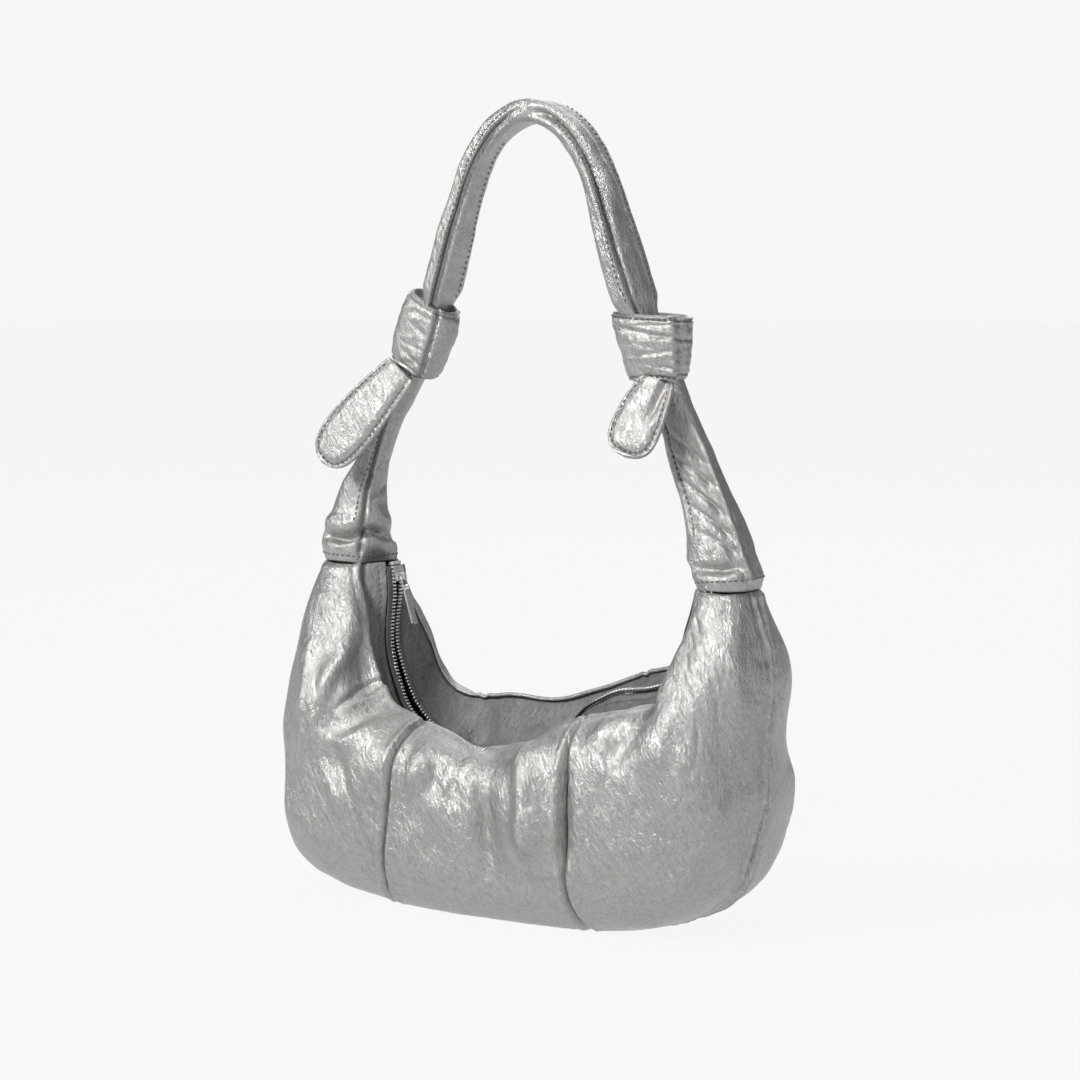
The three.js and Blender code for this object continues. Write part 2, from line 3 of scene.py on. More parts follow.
import bpy
import numpy as np
from mathutils import Matrix, Vector


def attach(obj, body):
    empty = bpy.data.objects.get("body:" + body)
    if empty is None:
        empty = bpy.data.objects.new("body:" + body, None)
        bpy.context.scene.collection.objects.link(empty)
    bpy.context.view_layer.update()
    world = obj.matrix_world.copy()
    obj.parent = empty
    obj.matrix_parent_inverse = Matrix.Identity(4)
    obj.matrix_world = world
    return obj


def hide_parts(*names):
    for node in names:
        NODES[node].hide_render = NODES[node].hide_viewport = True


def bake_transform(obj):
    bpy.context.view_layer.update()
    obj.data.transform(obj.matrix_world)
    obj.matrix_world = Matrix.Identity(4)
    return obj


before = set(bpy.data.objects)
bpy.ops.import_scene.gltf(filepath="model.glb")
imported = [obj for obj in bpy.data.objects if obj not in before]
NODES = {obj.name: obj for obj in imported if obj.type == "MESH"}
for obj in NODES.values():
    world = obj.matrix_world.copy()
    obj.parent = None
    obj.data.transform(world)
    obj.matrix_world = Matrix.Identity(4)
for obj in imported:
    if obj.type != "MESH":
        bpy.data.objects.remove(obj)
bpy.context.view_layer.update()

# Everything below is worked out in millimetres, in the frame of the CAD model: +X to the bag's right,
# +Y to its back and +Z up. It is scaled to metres as each mesh is made.
MM = 0.001

FRONT, BACK = -1, 1
LEFT, RIGHT = -1, 1

# Camera direction. Grooves and stitch rows on the tubes are placed as seen along it.
VIEW_AZIMUTH = math.radians(33)
VIEW_ELEVATION = math.radians(5.4)
CAMERA_DISTANCE = 1800
AIM_HEIGHT = 245
TOWARDS_CAMERA = np.array(
    [
        math.sin(VIEW_AZIMUTH) * math.cos(VIEW_ELEVATION),
        -math.cos(VIEW_AZIMUTH) * math.cos(VIEW_ELEVATION),
        math.sin(VIEW_ELEVATION),
    ]
)
ACROSS_VIEW = np.array([math.cos(VIEW_AZIMUTH), math.sin(VIEW_AZIMUTH), 0.0])


# ---------------------------------------------------------------- small maths


def detail(count):
    return count


def smooth(t):
    t = np.clip(t, 0, 1)
    return t * t * (3 - 2 * t)


def bell(distance, width):
    return np.exp(-((distance / width) ** 2))


def curve_through(keys, values, at):
    """Smooth curve through rows of values, each slope taken from the rows beside it."""
    keys, values, at = np.asarray(keys, float), np.asarray(values, float), np.asarray(at, float)
    last = len(keys) - 1
    after = np.minimum(np.arange(last + 1) + 1, last)
    before = np.maximum(np.arange(last + 1) - 1, 0)
    slope = (values[after] - values[before]) / (keys[after] - keys[before])
    i = np.clip(np.searchsorted(keys, at) - 1, 0, last - 1)
    span = keys[i + 1] - keys[i]
    t = np.clip((at - keys[i]) / span, 0, 1)
    return (
        (2 * t**3 - 3 * t**2 + 1) * values[i]
        + (t**3 - 2 * t**2 + t) * span * slope[i]
        + (-2 * t**3 + 3 * t**2) * values[i + 1]
        + (t**3 - t**2) * span * slope[i + 1]
    )


def read_table(table, at):
    """Every column of a table after the first, read by a smooth curve at places in the first."""
    return [curve_through(table[:, 0], column, at) for column in table[:, 1:].T]


def curve_points(points, at, wanted):
    """The same as points_at, along a smooth curve."""
    return np.stack([curve_through(at, column, wanted) for column in np.asarray(points).T], -1)


def signed_power(values, power):
    return np.sign(values) * np.abs(values) ** power


def unit(v):
    return v / np.maximum(np.linalg.norm(v, axis=-1, keepdims=True), 1e-9)


def lengths_along(points):
    steps = np.linalg.norm(np.diff(points, axis=0), axis=-1)
    return np.concatenate([[0], np.cumsum(steps)])


def points_at(points, at, wanted):
    """Points of a line, at wanted lengths along it."""
    return np.stack([np.interp(wanted, at, points[:, k]) for k in range(3)], -1)


def resample(points, count, closed=False):
    """The same line with count points, evenly spaced along it."""
    points = np.asarray(points, float)
    if closed:
        points = np.vstack([points, points[:1]])
    at = lengths_along(points)
    return points_at(points, at, np.linspace(0, at[-1], count, endpoint=not closed))


WAVE_COUNT = 14


def waves(points, wavelength, seed, stretch=(1, 1, 1)):
    """Soft random relief, between about -1 and 1."""
    random = np.random.default_rng(seed)
    total = np.zeros(points.shape[:-1])
    for _ in range(WAVE_COUNT):
        direction = unit(random.normal(size=3)) / np.array(stretch)
        size = wavelength * random.uniform(0.7, 1.6)
        total += np.sin(points @ direction * (2 * math.pi / size) + random.uniform(0, 2 * math.pi))
    return total / math.sqrt(WAVE_COUNT)


# ---------------------------------------------------------------- meshes


def add_object(name, data):
    added = bpy.data.objects.new(name, data)
    bpy.context.scene.collection.objects.link(added)
    return added


def make_piece(name, points, faces, material, slot):
    """A closed mesh piece from points in millimetres, with its faces turned outwards."""
    points = np.asarray(points, float)
    triangles = np.array([f[:3] for f in faces] + [(f[0], f[2], f[3]) for f in faces if len(f) == 4])
    a, b, c = points[triangles[:, 0]], points[triangles[:, 1]], points[triangles[:, 2]]
    if np.einsum("ij,ij->i", a, np.cross(b, c)).sum() < 0:
        faces = [tuple(reversed(f)) for f in faces]
    mesh = bpy.data.meshes.new(name)
    mesh.from_pydata((points * MM).tolist(), [], faces)
    mesh.polygons.foreach_set("use_smooth", np.ones(len(mesh.polygons), bool))
    mesh.materials.append(material)
    mesh.update()
    piece = add_object(name, mesh)
    return piece


def grid_faces(rows, columns, start=0, wrap=False):
    """Quads of a grid of points; wrap joins the last column to the first."""
    index = np.arange(rows * columns).reshape(rows, columns) + start
    if wrap:
        index = np.hstack([index, index[:, :1]])
    quads = np.stack([index[:-1, :-1], index[:-1, 1:], index[1:, 1:], index[1:, :-1]], -1)
    return [tuple(q) for q in quads.reshape(-1, 4).tolist()]


def border_of(rows, columns):
    index = np.arange(rows * columns).reshape(rows, columns)
    return np.concatenate([index[0, :-1], index[:-1, -1], index[-1, :0:-1], index[:0:-1, 0]])


def sheet_mesh(outer, inner, bulge=0.5):
    """Points and faces of a skin between two grids, with a rounded edge all round."""
    rows, columns, _ = outer.shape
    count = rows * columns
    edge = border_of(rows, columns)
    inside = np.clip(edge // columns, 1, rows - 2) * columns + np.clip(edge % columns, 1, columns - 2)
    o, i = outer.reshape(-1, 3), inner.reshape(-1, 3)
    out = unit((o[edge] + i[edge]) / 2 - (o[inside] + i[inside]) / 2)
    middle = (o[edge] + i[edge]) / 2 + out * bulge
    faces = grid_faces(rows, columns)
    faces += [tuple(reversed(f)) for f in grid_faces(rows, columns, count)]
    n = len(edge)
    for k in range(n):
        here, after = int(edge[k]), int(edge[(k + 1) % n])
        mid, mid_after = 2 * count + k, 2 * count + (k + 1) % n
        faces += [(after, here, mid, mid_after), (mid_after, mid, here + count, after + count)]
    return np.vstack([o, i, middle]), faces


def tube_mesh(rings):
    """Points and faces of a closed tube through rings of points, with a flat cap at each end."""
    count, around, _ = rings.shape
    faces = grid_faces(count, around, wrap=True)
    points = np.vstack([rings.reshape(-1, 3), rings[0].mean(0), rings[-1].mean(0)])
    first, last = count * around, count * around + 1
    base = (count - 1) * around
    for k in range(around):
        after = (k + 1) % around
        faces += [(first, after, k), (last, base + k, base + after)]
    return points, faces


def joined(parts):
    """Several (points, faces) as one."""
    points, faces, start = [], [], 0
    for part_points, part_faces in parts:
        points.append(part_points)
        faces += [tuple(i + start for i in f) for f in part_faces]
        start += len(part_points)
    return np.vstack(points), faces


# ---------------------------------------------------------------- stitches

STITCH_LENGTH = 2.3
STITCH_PITCH = 3.3
STITCH_RADIUS = 0.52
STITCH_SIDES = 6
# Along a stitch as a share of its length, and its radius there as a share of the greatest.
STITCH_PROFILE = [(-0.5, 0.25), (-0.38, 0.8), (0.0, 1.0), (0.38, 0.8), (0.5, 0.25)]
STITCH_END_DIP = 1.2
TANGENT_REACH = 0.6
HEM_STITCH_LIFT = 0.15


def stitch_parts(path, normals, lift):
    """A row of small rounded stitches along a path, lying on the surface."""
    at = lengths_along(path)
    turns = 2 * np.pi * np.arange(STITCH_SIDES) / STITCH_SIDES
    parts = []
    for centre_at in np.arange(STITCH_PITCH * 0.7, at[-1] - STITCH_PITCH * 0.5, STITCH_PITCH):
        centre, up = points_at(path, at, centre_at), unit(points_at(normals, at, centre_at))
        ahead = points_at(path, at, centre_at + TANGENT_REACH)
        along = unit(ahead - points_at(path, at, centre_at - TANGENT_REACH))
        across = unit(np.cross(along, up))
        up = np.cross(across, along)
        rings = []
        for part, share in STITCH_PROFILE:
            radius = STITCH_RADIUS * share
            height = lift + radius * np.sin(turns) - STITCH_END_DIP * abs(part) * STITCH_RADIUS
            ring = centre + along * part * STITCH_LENGTH + across * (radius * np.cos(turns))[:, None]
            rings.append(ring + up * height[:, None])
        parts.append(tube_mesh(np.array(rings)))
    return parts


def ring_stitches(rings, normals, k):
    """Stitches all round one ring of a tube."""
    path, up = (np.vstack([grid[k], grid[k][:1]]) for grid in (rings, normals))
    return stitch_parts(path, up, HEM_STITCH_LIFT)


def make_stitches(name, parts):
    return make_piece(name + "_stitches", *joined(parts), THREAD, "leather")


# ---------------------------------------------------------------- materials


class Nodes:
    """A material's nodes, made and joined in short calls."""

    def __init__(self, name):
        self.material = bpy.data.materials.new(name)
        self.material.use_nodes = True
        self.tree = self.material.node_tree
        self.shader = self.tree.nodes["Principled BSDF"]
        coordinates = self.tree.nodes.new("ShaderNodeTexCoord")
        self.place = coordinates.outputs["Object"]

    def link(self, source, target):
        self.tree.links.new(source, target)

    def add(self, kind, **values):
        """A node of a kind, its inputs set by name."""
        node = self.tree.nodes.new("ShaderNode" + kind)
        for key, value in values.items():
            node.inputs[key.replace("_", " ")].default_value = value
        return node

    def stretched(self, scale, turn):
        """Coordinates turned first and then scaled, so that a pattern is drawn out along a slant."""
        turned = self.add("Mapping", Rotation=turn)
        self.link(self.place, turned.inputs["Vector"])
        scaled = self.add("Mapping", Scale=scale)
        self.link(turned.outputs["Vector"], scaled.inputs["Vector"])
        return scaled.outputs["Vector"]

    def noise(self, scale, detail=3, roughness=0.55, distortion=0.0, vector=None):
        node = self.add("TexNoise", Scale=scale, Detail=detail, Roughness=roughness, Distortion=distortion)
        self.link(vector or self.place, node.inputs["Vector"])
        return node.outputs["Fac"]

    def cells(self, scale):
        node = self.add("TexVoronoi", Scale=scale)
        node.feature = "SMOOTH_F1"
        self.link(self.place, node.inputs["Vector"])
        return node.outputs["Distance"]

    def ramp(self, value, stops):
        node = self.add("ValToRGB")
        elements = node.color_ramp.elements
        while len(elements) < len(stops):
            elements.new(0.5)
        for element, (position, colour) in zip(elements, stops):
            element.position = position
            element.color = (*colour, 1)
        self.link(value, node.inputs["Fac"])
        return node.outputs["Color"]

    def spread(self, value, low, high, to_low, to_high):
        node = self.add("MapRange", From_Min=low, From_Max=high, To_Min=to_low, To_Max=to_high)
        self.link(value, node.inputs["Value"])
        return node.outputs["Result"]

    def bump(self, height, strength, distance, below=None):
        node = self.add("Bump", Strength=strength, Distance=distance)
        self.link(height, node.inputs["Height"])
        if below is not None:
            self.link(below, node.inputs["Normal"])
        return node.outputs["Normal"]

    def feed(self, **outputs):
        """Join outputs to the shader's inputs, by name."""
        for key, output in outputs.items():
            self.link(output, self.shader.inputs[key.replace("_", " ")])

    def plain(self, **values):
        for key, value in values.items():
            self.shader.inputs[key.replace("_", " ")].default_value = value


def grey(level):
    """A grey with a touch of warmth in it."""
    return (level * 1.02, level, level * 0.968)


def leather_material(name="pewter_leather", level=0.37, turn=0.5, dullness=0.0):
    """Metallic pewter leather: pebbled grain, fine slanting creases and a patchy foil finish."""
    n = Nodes(name)
    slanted = n.stretched((1, 1, 0.38), (0.15, turn, 0.2))
    patches = n.noise(38, 4, 0.6)
    streaks = n.noise(640, 4, 0.66, 1.0, slanted)
    shades = [(0.34, grey(level * 0.82)), (0.50, grey(level)), (0.66, grey(level * 1.17))]
    roughness = n.spread(patches, 0.3, 0.7, 0.36 + dullness, 0.47 + dullness)
    n.plain(Metallic=0.78 - dullness, Specular_IOR_Level=0.5)
    grain = n.bump(n.cells(850), 0.35, 0.0005)
    creases = n.bump(n.noise(330, 5, 0.66, 1.4, slanted), 0.62, 0.0014, grain)
    pull = n.bump(n.noise(120, 3, 0.55, 0.9, slanted), 0.38, 0.0030, creases)
    n.feed(Base_Color=n.ramp(streaks, shades), Roughness=roughness, Normal=pull)
    return n.material


def zip_metal_material():
    """Bright nickel, slightly brushed and scuffed."""
    n = Nodes("zip_nickel")
    scuffs = n.noise(900, 3, 0.6)
    n.plain(Metallic=1.0)
    colour = n.ramp(scuffs, [(0.3, grey(0.78)), (0.7, grey(0.95))])
    brushed = n.bump(n.noise(1500, 2), 0.1, 0.0002)
    n.feed(Base_Color=colour, Roughness=n.spread(scuffs, 0.3, 0.7, 0.28, 0.42), Normal=brushed)
    return n.material


def woven_material(name, level, threads_per_metre):
    """Fine plain weave: two sets of threads crossing, with a slightly uneven dye."""
    n = Nodes(name)
    mix = n.add("Math")
    mix.operation = "MULTIPLY"
    for k, direction in enumerate("XZ"):
        wave = n.add("TexWave", Scale=threads_per_metre, Distortion=0.4)
        wave.bands_direction = direction
        n.link(n.place, wave.inputs["Vector"])
        n.link(wave.outputs["Fac"], mix.inputs[k])
    dye = n.ramp(n.noise(60, 4), [(0.3, grey(level * 0.8)), (0.7, grey(level * 1.2))])
    n.plain(Roughness=0.85)
    n.feed(Base_Color=dye, Normal=n.bump(mix.outputs[0], 0.5, 0.0003))
    return n.material


def thread_material():
    """Waxed thread in the leather's own grey, twisted."""
    n = Nodes("stitch_thread")
    twist = n.noise(2600, 2)
    n.plain(Roughness=0.6)
    colour = n.ramp(twist, [(0.35, grey(0.07)), (0.65, grey(0.16))])
    n.feed(Base_Color=colour, Normal=n.bump(twist, 0.4, 0.0002))
    return n.material


LEATHER = leather_material()
# The plackets are the same leather as the panels. This copy has a darker colour as painted shade, so the
# plackets read darker where they turn from the light.
PAINTED_SHADE_LEATHER = leather_material("pewter_leather_painted_shade", 0.17, -0.4, 0.15)
ZIP_METAL = zip_metal_material()
TAPE = woven_material("zip_tape_weave", 0.10, 700)
LINING = woven_material("lining_twill", 0.05, 500)
THREAD = thread_material()


# ---------------------------------------------------------------- the body's surface

ARC_HEIGHT = 201.0
ZIP_RADIUS = 103.0
ZIP_CENTRE_X = 6.0
HORN_ANGLE = 7.0
PANEL_SEAM_ANGLE = 60.0
HINGE_HEIGHT = 188.0
LIP_REST = math.radians(3.43)
SIDE_FULLNESS = 0.75
LEATHER_THICKNESS = 2.2

# From a horn to the middle: angle round the mouth, edge seam x and z, greatest half depth, half width
# of the rim, squareness of the base.
STATIONS = np.array([
    [7, 148, 188, 20, 14, 1.0], [17, 158, 146, 36, 19, 0.92], [28, 161, 105, 48, 23, 0.84],
    [38, 161, 62, 56, 26, 0.76], [46, 151, 22, 60, 28, 0.70], [53, 117, 4, 63, 30, 0.64],
    [60, 66, -5, 64, 32, 0.6], [75, 30, -7, 64, 32, 0.6], [90, 0, -7, 64, 32, 0.6],
])

# How far out the filled bag reaches, as a share of the stations' edge x: angle, left end, right end.
FILLED_SHARE = np.array([
    [7, 0.955, 0.96], [17, 0.935, 0.955], [28, 0.945, 0.92], [38, 0.945, 0.908], [46, 0.955, 0.87],
    [53, 1, 0.86], [60, 1, 0.93], [90, 1, 1],
])

# The rims as they hang: angle, x, z.
FRONT_RIM = np.array([
    [7, -109, 188.4], [12, -107.5, 180], [17, -104, 169], [24, -99.5, 155], [32, -92.5, 141],
    [41, -84.4, 126], [49, -76, 113.5], [53, -69, 109.5], [60, -53.5, 104.5], [70, -34, 99.5],
    [77, -20, 92.5], [80, -15.5, 90.8], [84, -9.5, 93.5], [94, 8.6, 98.1], [101, 20.8, 100.8],
    [107, 29.5, 105.5], [111, 36, 110.5], [120, 54, 117], [132, 78, 122], [142, 94, 126.5],
    [147, 99, 130], [151, 100.5, 138], [155, 102, 146], [160, 105, 156], [166, 109.5, 169],
    [173, 110, 188.4],
])
BACK_RIM = np.array([
    [7, -102, 188.4], [17, -98, 168], [28, -92, 150], [38, -86, 136], [47, -81, 121], [53, -71, 112],
    [60, -56, 110], [72, -38, 113], [83, -14, 112], [90, 0, 114], [104, 25, 122], [120, 53, 133],
    [135, 74, 139], [147, 92, 150], [160, 104, 166], [173, 108, 188.4],
])


def section_depth(turn, squareness):
    return 0.5 * (1 - signed_power(np.cos(turn), squareness))


def surface(angle, down, side):
    """Point of the bag's smooth surface; down runs from the rim (0) to the edge seam (1)."""
    angle, down = np.broadcast_arrays(np.asarray(angle, float), np.asarray(down, float))
    folded = np.where(angle > 90, 180 - angle, angle)
    station_x, edge_z, depth, rim_depth, squareness = read_table(STATIONS, folded)
    rim_x, rim_z = read_table(FRONT_RIM if side == FRONT else BACK_RIM, angle)
    left_share, right_share = read_table(FILLED_SHARE, folded)
    edge_x = station_x * np.where(angle > 90, right_share, -left_share)
    start = np.arcsin((rim_depth / depth) ** (1 / SIDE_FULLNESS))
    turn = start + (np.pi - start) * down
    top = section_depth(start, squareness)
    part = (section_depth(turn, squareness) - top) / (1 - top)
    x = rim_x + (edge_x - rim_x) * part
    z = np.maximum(rim_z + (edge_z - rim_z) * part, 0)
    y = side * depth * np.maximum(np.sin(turn), 0) ** SIDE_FULLNESS
    return np.stack([x, y, z], -1)


def surface_grid(from_angle, to_angle, side, rows, columns, top=0.0, bottom=1.0):
    """A grid of surface points, about evenly spaced both ways, and the outward normals."""
    trial = np.linspace(from_angle, to_angle, 200)
    spread = 0.45 * lengths_along(surface(trial, 0.0, side)) + lengths_along(surface(trial, 0.6, side))
    angles = np.interp(np.linspace(0, spread[-1], columns), spread, trial)
    fine = 1 - (1 - np.linspace(0, 1, 260)) ** 1.7
    fine = top + (bottom - top) * fine
    sections = surface(angles[None, :], fine[:, None], side)
    points = np.empty((rows, columns, 3))
    for c in range(columns):
        points[:, c] = resample(sections[:, c], rows)
    across = np.gradient(points, axis=1)
    down = np.gradient(points, axis=0)
    normals = unit(np.cross(across, down)) * side
    normals = np.where((normals[..., 1:2] * side < -0.2) & (points[..., 2:3] > 1), -normals, normals)
    return points, normals, angles


# ---------------------------------------------------------------- folds in the leather


def stroke(points, line, height, width, other=None, taper=0.25):
    """A ridge (height above 0) or valley along a line of (x, z) points. width is on the line's left
    side and other on its right; the ends fade over taper of the length."""
    line = np.asarray(line, float)
    flat = points[..., [0, 2]]
    if len(line) == 1:
        return height * bell(np.linalg.norm(flat - line[0], axis=-1), width)
    if len(line) > 2:
        at = lengths_along(line)
        wanted = np.linspace(0, at[-1], 5 * len(line))
        line = curve_points(line, at, wanted)
    best = np.full(flat.shape[:-1], 1e9)
    where = np.zeros_like(best)
    hand = np.ones_like(best)
    steps = np.linalg.norm(np.diff(line, axis=0), axis=1)
    total, done = steps.sum(), 0.0
    for a, b, step in zip(line[:-1], line[1:], steps):
        along = (b - a) / step
        t = np.clip((flat - a) @ along, 0, step)
        offset = flat - (a + t[..., None] * along)
        distance = np.linalg.norm(offset, axis=-1)
        nearer = distance < best
        best = np.where(nearer, distance, best)
        where = np.where(nearer, (done + t) / total, where)
        hand = np.where(nearer, np.sign(along[0] * offset[..., 1] - along[1] * offset[..., 0]), hand)
        done += step
    wide = np.where(hand > 0, width, width if other is None else other)
    fade = smooth(where / taper) * smooth((1 - where) / taper) if taper else 1.0
    return height * bell(best, wide) * fade


# Front folds: line of (x, z), height, width on the line's left, width on its right, taper.
FRONT_FOLDS = [
    # left panel: the dent below the horn, its bright lip and the long ridges beside it
    (
        [(-105, 182), (-101, 141), (-106, 123), (-107, 106), (-101, 95), (-88, 94), (-73, 107)],
        4.8, 3.2, 8, 0.12,
    ),
    ([(-93, 160), (-88, 134), (-84, 116)], -8.5, 12, 12, 0.35),
    ([(-83, 116)], -4.0, 11, 11, 0),
    ([(-128, 158), (-118, 110), (-121, 69)], 3.4, 3.5, 9, 0.25),
    ([(-118, 132), (-115, 110), (-108, 90), (-95, 67), (-84, 44)], 2.6, 4, 5, 0.25),
    ([(-114, 118), (-105, 92), (-92, 70), (-83, 66)], -3.4, 7, 6, 0.35),
    ([(-65, 85)], 4.0, 15, 15, 0),
    ([(-126, 139), (-112, 110), (-97, 84), (-82, 46), (-67, 8)], 2.2, 2.4, 6, 0.2),
    ([(-121, 136), (-107, 107), (-92, 81), (-77, 43), (-63, 6)], -2.0, 4, 4, 0.2),
    ([(-139, 120), (-136, 60), (-127, 30)], 1.2, 3, 8, 0.3),
    # middle panel: the gathered folds under the rim
    ([(-37, 102), (-39, 84), (-41, 66)], 4.0, 7, 6.5, 0.45),
    ([(-29, 92), (-27, 78), (-28, 62)], -3.4, 5, 5, 0.45),
    ([(-31, 97), (-24, 87), (-16, 83), (-4, 96)], 3.2, 3.0, 5.5, 0.28),
    ([(-17, 93)], 1.6, 6, 6, 0),
    ([(-24, 74), (-14, 68), (-4, 76)], -2.6, 8, 8, 0.4),
    ([(-6, 106), (0, 88), (5, 64), (9, 36), (13, 4)], -7.4, 11, 5.0, 0.5),
    ([(19, 104), (30, 90), (36, 70), (40, 52), (41, 38)], 7.5, 9, 8.5, 0.22),
    ([(37, 56)], 5.0, 12, 12, 0),
    ([(26, 36), (39, 27), (52, 34)], -2.6, 6, 7, 0.4),
    ([(55, 108), (57, 82), (58, 58), (59, 30)], -5.5, 5.0, 3.0, 0.3),
    ([(-52, 60), (-35, 35), (-10, 12)], 1.6, 9, 9, 0.4),
    # right panel: the pinch at the foot of the horn and the long creases near the end seam
    ([(110, 182), (109, 161), (106, 144), (103, 124)], 2.4, 5, 4, 0.2),
    ([(97, 120), (90, 108), (80, 94)], -3.4, 7, 8, 0.35),
    ([(92, 122), (80, 115), (66, 112)], 3.0, 6, 6, 0.3),
    ([(114, 138), (112, 116), (110, 90)], 2.6, 9, 9, 0.35),
    ([(138, 190), (143, 160), (147, 120), (146, 85)], 1.8, 2.2, 4, 0.2),
    ([(146, 92), (139, 62), (126, 38), (108, 14)], 3.6, 2.4, 5.5, 0.3),
    ([(152, 84), (145, 52), (133, 30), (117, 10)], -3.0, 2.6, 3.4, 0.3),
    ([(72, 98), (78, 82), (80, 66)], -1.2, 5, 7, 0.4),
]
# The hanging diagonal creases in the left dent, and small creases on the right panel.
FINE_CREASES = [
    ([(-81 + d, 131 + 0.6 * d), (-86 + d, 123 + 0.6 * d), (-93 + d, 112 + 0.6 * d)], -1.3, 1.3, 1.3, 0.3)
    for d in (-7.5, -5, -2.6, 0, 2.8, 5.6)
] + [
    ([(147, 160), (152, 147), (158, 132)], -0.9, 1.0, 1.0, 0.3),
    ([(133, 150), (139, 132), (141, 116)], -0.7, 1.0, 1.0, 0.3),
    ([(128, 132), (133, 112), (132, 95)], -0.7, 0.9, 0.9, 0.3),
    ([(80, 104), (84, 92), (83, 84)], -0.7, 1.0, 1.0, 0.3),
    ([(72, 60), (78, 54), (82, 52)], -0.8, 1.0, 1.0, 0.3),
    ([(114, 178), (121, 168), (128, 163)], -1.0, 1.6, 1.6, 0.3),
    ([(113, 170), (119, 160), (127, 152)], -1.0, 1.6, 1.6, 0.3),
    ([(115, 160), (120, 150), (126, 140)], -0.9, 1.5, 1.5, 0.3),
    ([(116, 150), (121, 138), (124, 128)], -0.9, 1.5, 1.5, 0.3),
]
# Where the right horn's inner edge folds over the rim beside it.
RIM_PINCH = ([(95, 143), (97, 126), (97, 113)], -5.5, 3.6, 2.2, 0.35)
BACK_FOLDS = [
    ([(-84, 140), (-104, 118), (-118, 88)], -5.5, 7, 9, 0.25),
    ([(-72, 116), (-84, 84), (-88, 50)], 4.5, 7, 9, 0.25),
    ([(-104, 170), (-112, 140), (-130, 100)], 3.6, 5, 8, 0.25),
    ([(-140, 110), (-132, 66), (-112, 34)], 2.2, 3, 7, 0.25),
    ([(-34, 112), (-30, 84), (-33, 52)], -6.5, 5, 8, 0.2),
    ([(-12, 114), (-14, 84), (-22, 58)], 5.5, 8, 8, 0.2),
    ([(12, 116), (8, 90), (10, 56)], -6.0, 4, 8, 0.2),
    ([(32, 122), (34, 92), (30, 62)], 5.0, 8, 7, 0.2),
    ([(-46, 110), (-50, 84), (-48, 62)], 3.5, 4, 6, 0.2),
    ([(70, 134), (84, 100), (88, 62)], -5.5, 6, 9, 0.25),
    ([(92, 148), (106, 118), (112, 84)], 4.0, 6, 9, 0.25),
    ([(118, 176), (128, 140), (138, 100)], 2.4, 4, 8, 0.25),
    ([(144, 96), (134, 60), (116, 30)], 2.4, 3, 7, 0.25),
    ([(-90, 40), (-60, 22), (-20, 16)], 1.8, 7, 7, 0.3),
    ([(86, 46), (60, 26), (30, 16)], 1.8, 7, 7, 0.3),
]


def small_creases(side):
    """Short slanting creases scattered over a face."""
    random = np.random.default_rng(11 if side == FRONT else 12)
    creases = []
    for _ in range(46):
        x, z = random.uniform(-140, 140), random.uniform(18, 150)
        lean, length = random.uniform(0.2, 0.9), random.uniform(7, 20)
        dx, dz = length * math.sin(lean) / 2, -length * math.cos(lean) / 2
        if random.random() < 0.3:
            dx = -dx
        line = [(x - dx, z - dz), (x + random.uniform(-1, 1), z), (x + dx, z + dz)]
        creases.append((line, -random.uniform(0.25, 0.6), 0.9, 0.9, 0.4))
    return creases


def blurred(grid, passes):
    for _ in range(passes):
        padded = np.pad(grid, 1, mode="edge")
        rows = (padded[:-2] + 2 * padded[1:-1] + padded[2:]) / 4
        grid = (rows[:, :-2] + 2 * rows[:, 1:-1] + rows[:, 2:]) / 4
    return grid


def relief(points, side, fine=True):
    """How far the leather stands out from the smooth surface."""
    folds = FRONT_FOLDS if side == FRONT else BACK_FOLDS
    total = np.zeros(points.shape[:-1])
    for fold in folds:
        total += stroke(points, *fold)
    total = blurred(total + 1.3 * waves(points, 62, 3 + side), 3)
    from_rim, from_edge = across_grid(points, 0)
    total *= 0.3 + 0.7 * smooth(from_rim / 13)
    if side == BACK:
        total *= 0.3 + 0.7 * smooth(from_edge / 45)
    if side == FRONT:
        total += stroke(points, *RIM_PINCH)
    if fine:
        for crease in (FINE_CREASES if side == FRONT else []) + small_creases(side):
            total += stroke(points, *crease)
        total += 0.28 * waves(points, 15, 5 + side, stretch=(1, 1, 2))
    floor_fade = smooth((points[..., 2] - 0.5) / 9)
    return np.clip(total, -10, 9) * floor_fade


def across_grid(points, axis):
    """Distances in millimetres from the grid's first and last borders, along one axis."""
    steps = np.linalg.norm(np.diff(points, axis=axis), axis=-1)
    pad = [(0, 0), (0, 0)]
    pad[axis] = (1, 0)
    at = np.pad(np.cumsum(steps, axis=axis), pad)
    total = np.take(at, [-1], axis=axis)
    return at, total - at


HORN_PINCH = 1.6
PANEL_SEAM_DEPTH, END_SEAM_DEPTH = 2.0, 3.4
# A seam's profile: half width of the groove, then place and half width of the ridge beside it.
GROOVE_WIDTH, RIDGE_PLACE, RIDGE_WIDTH = 1.3, 3.4, 1.8


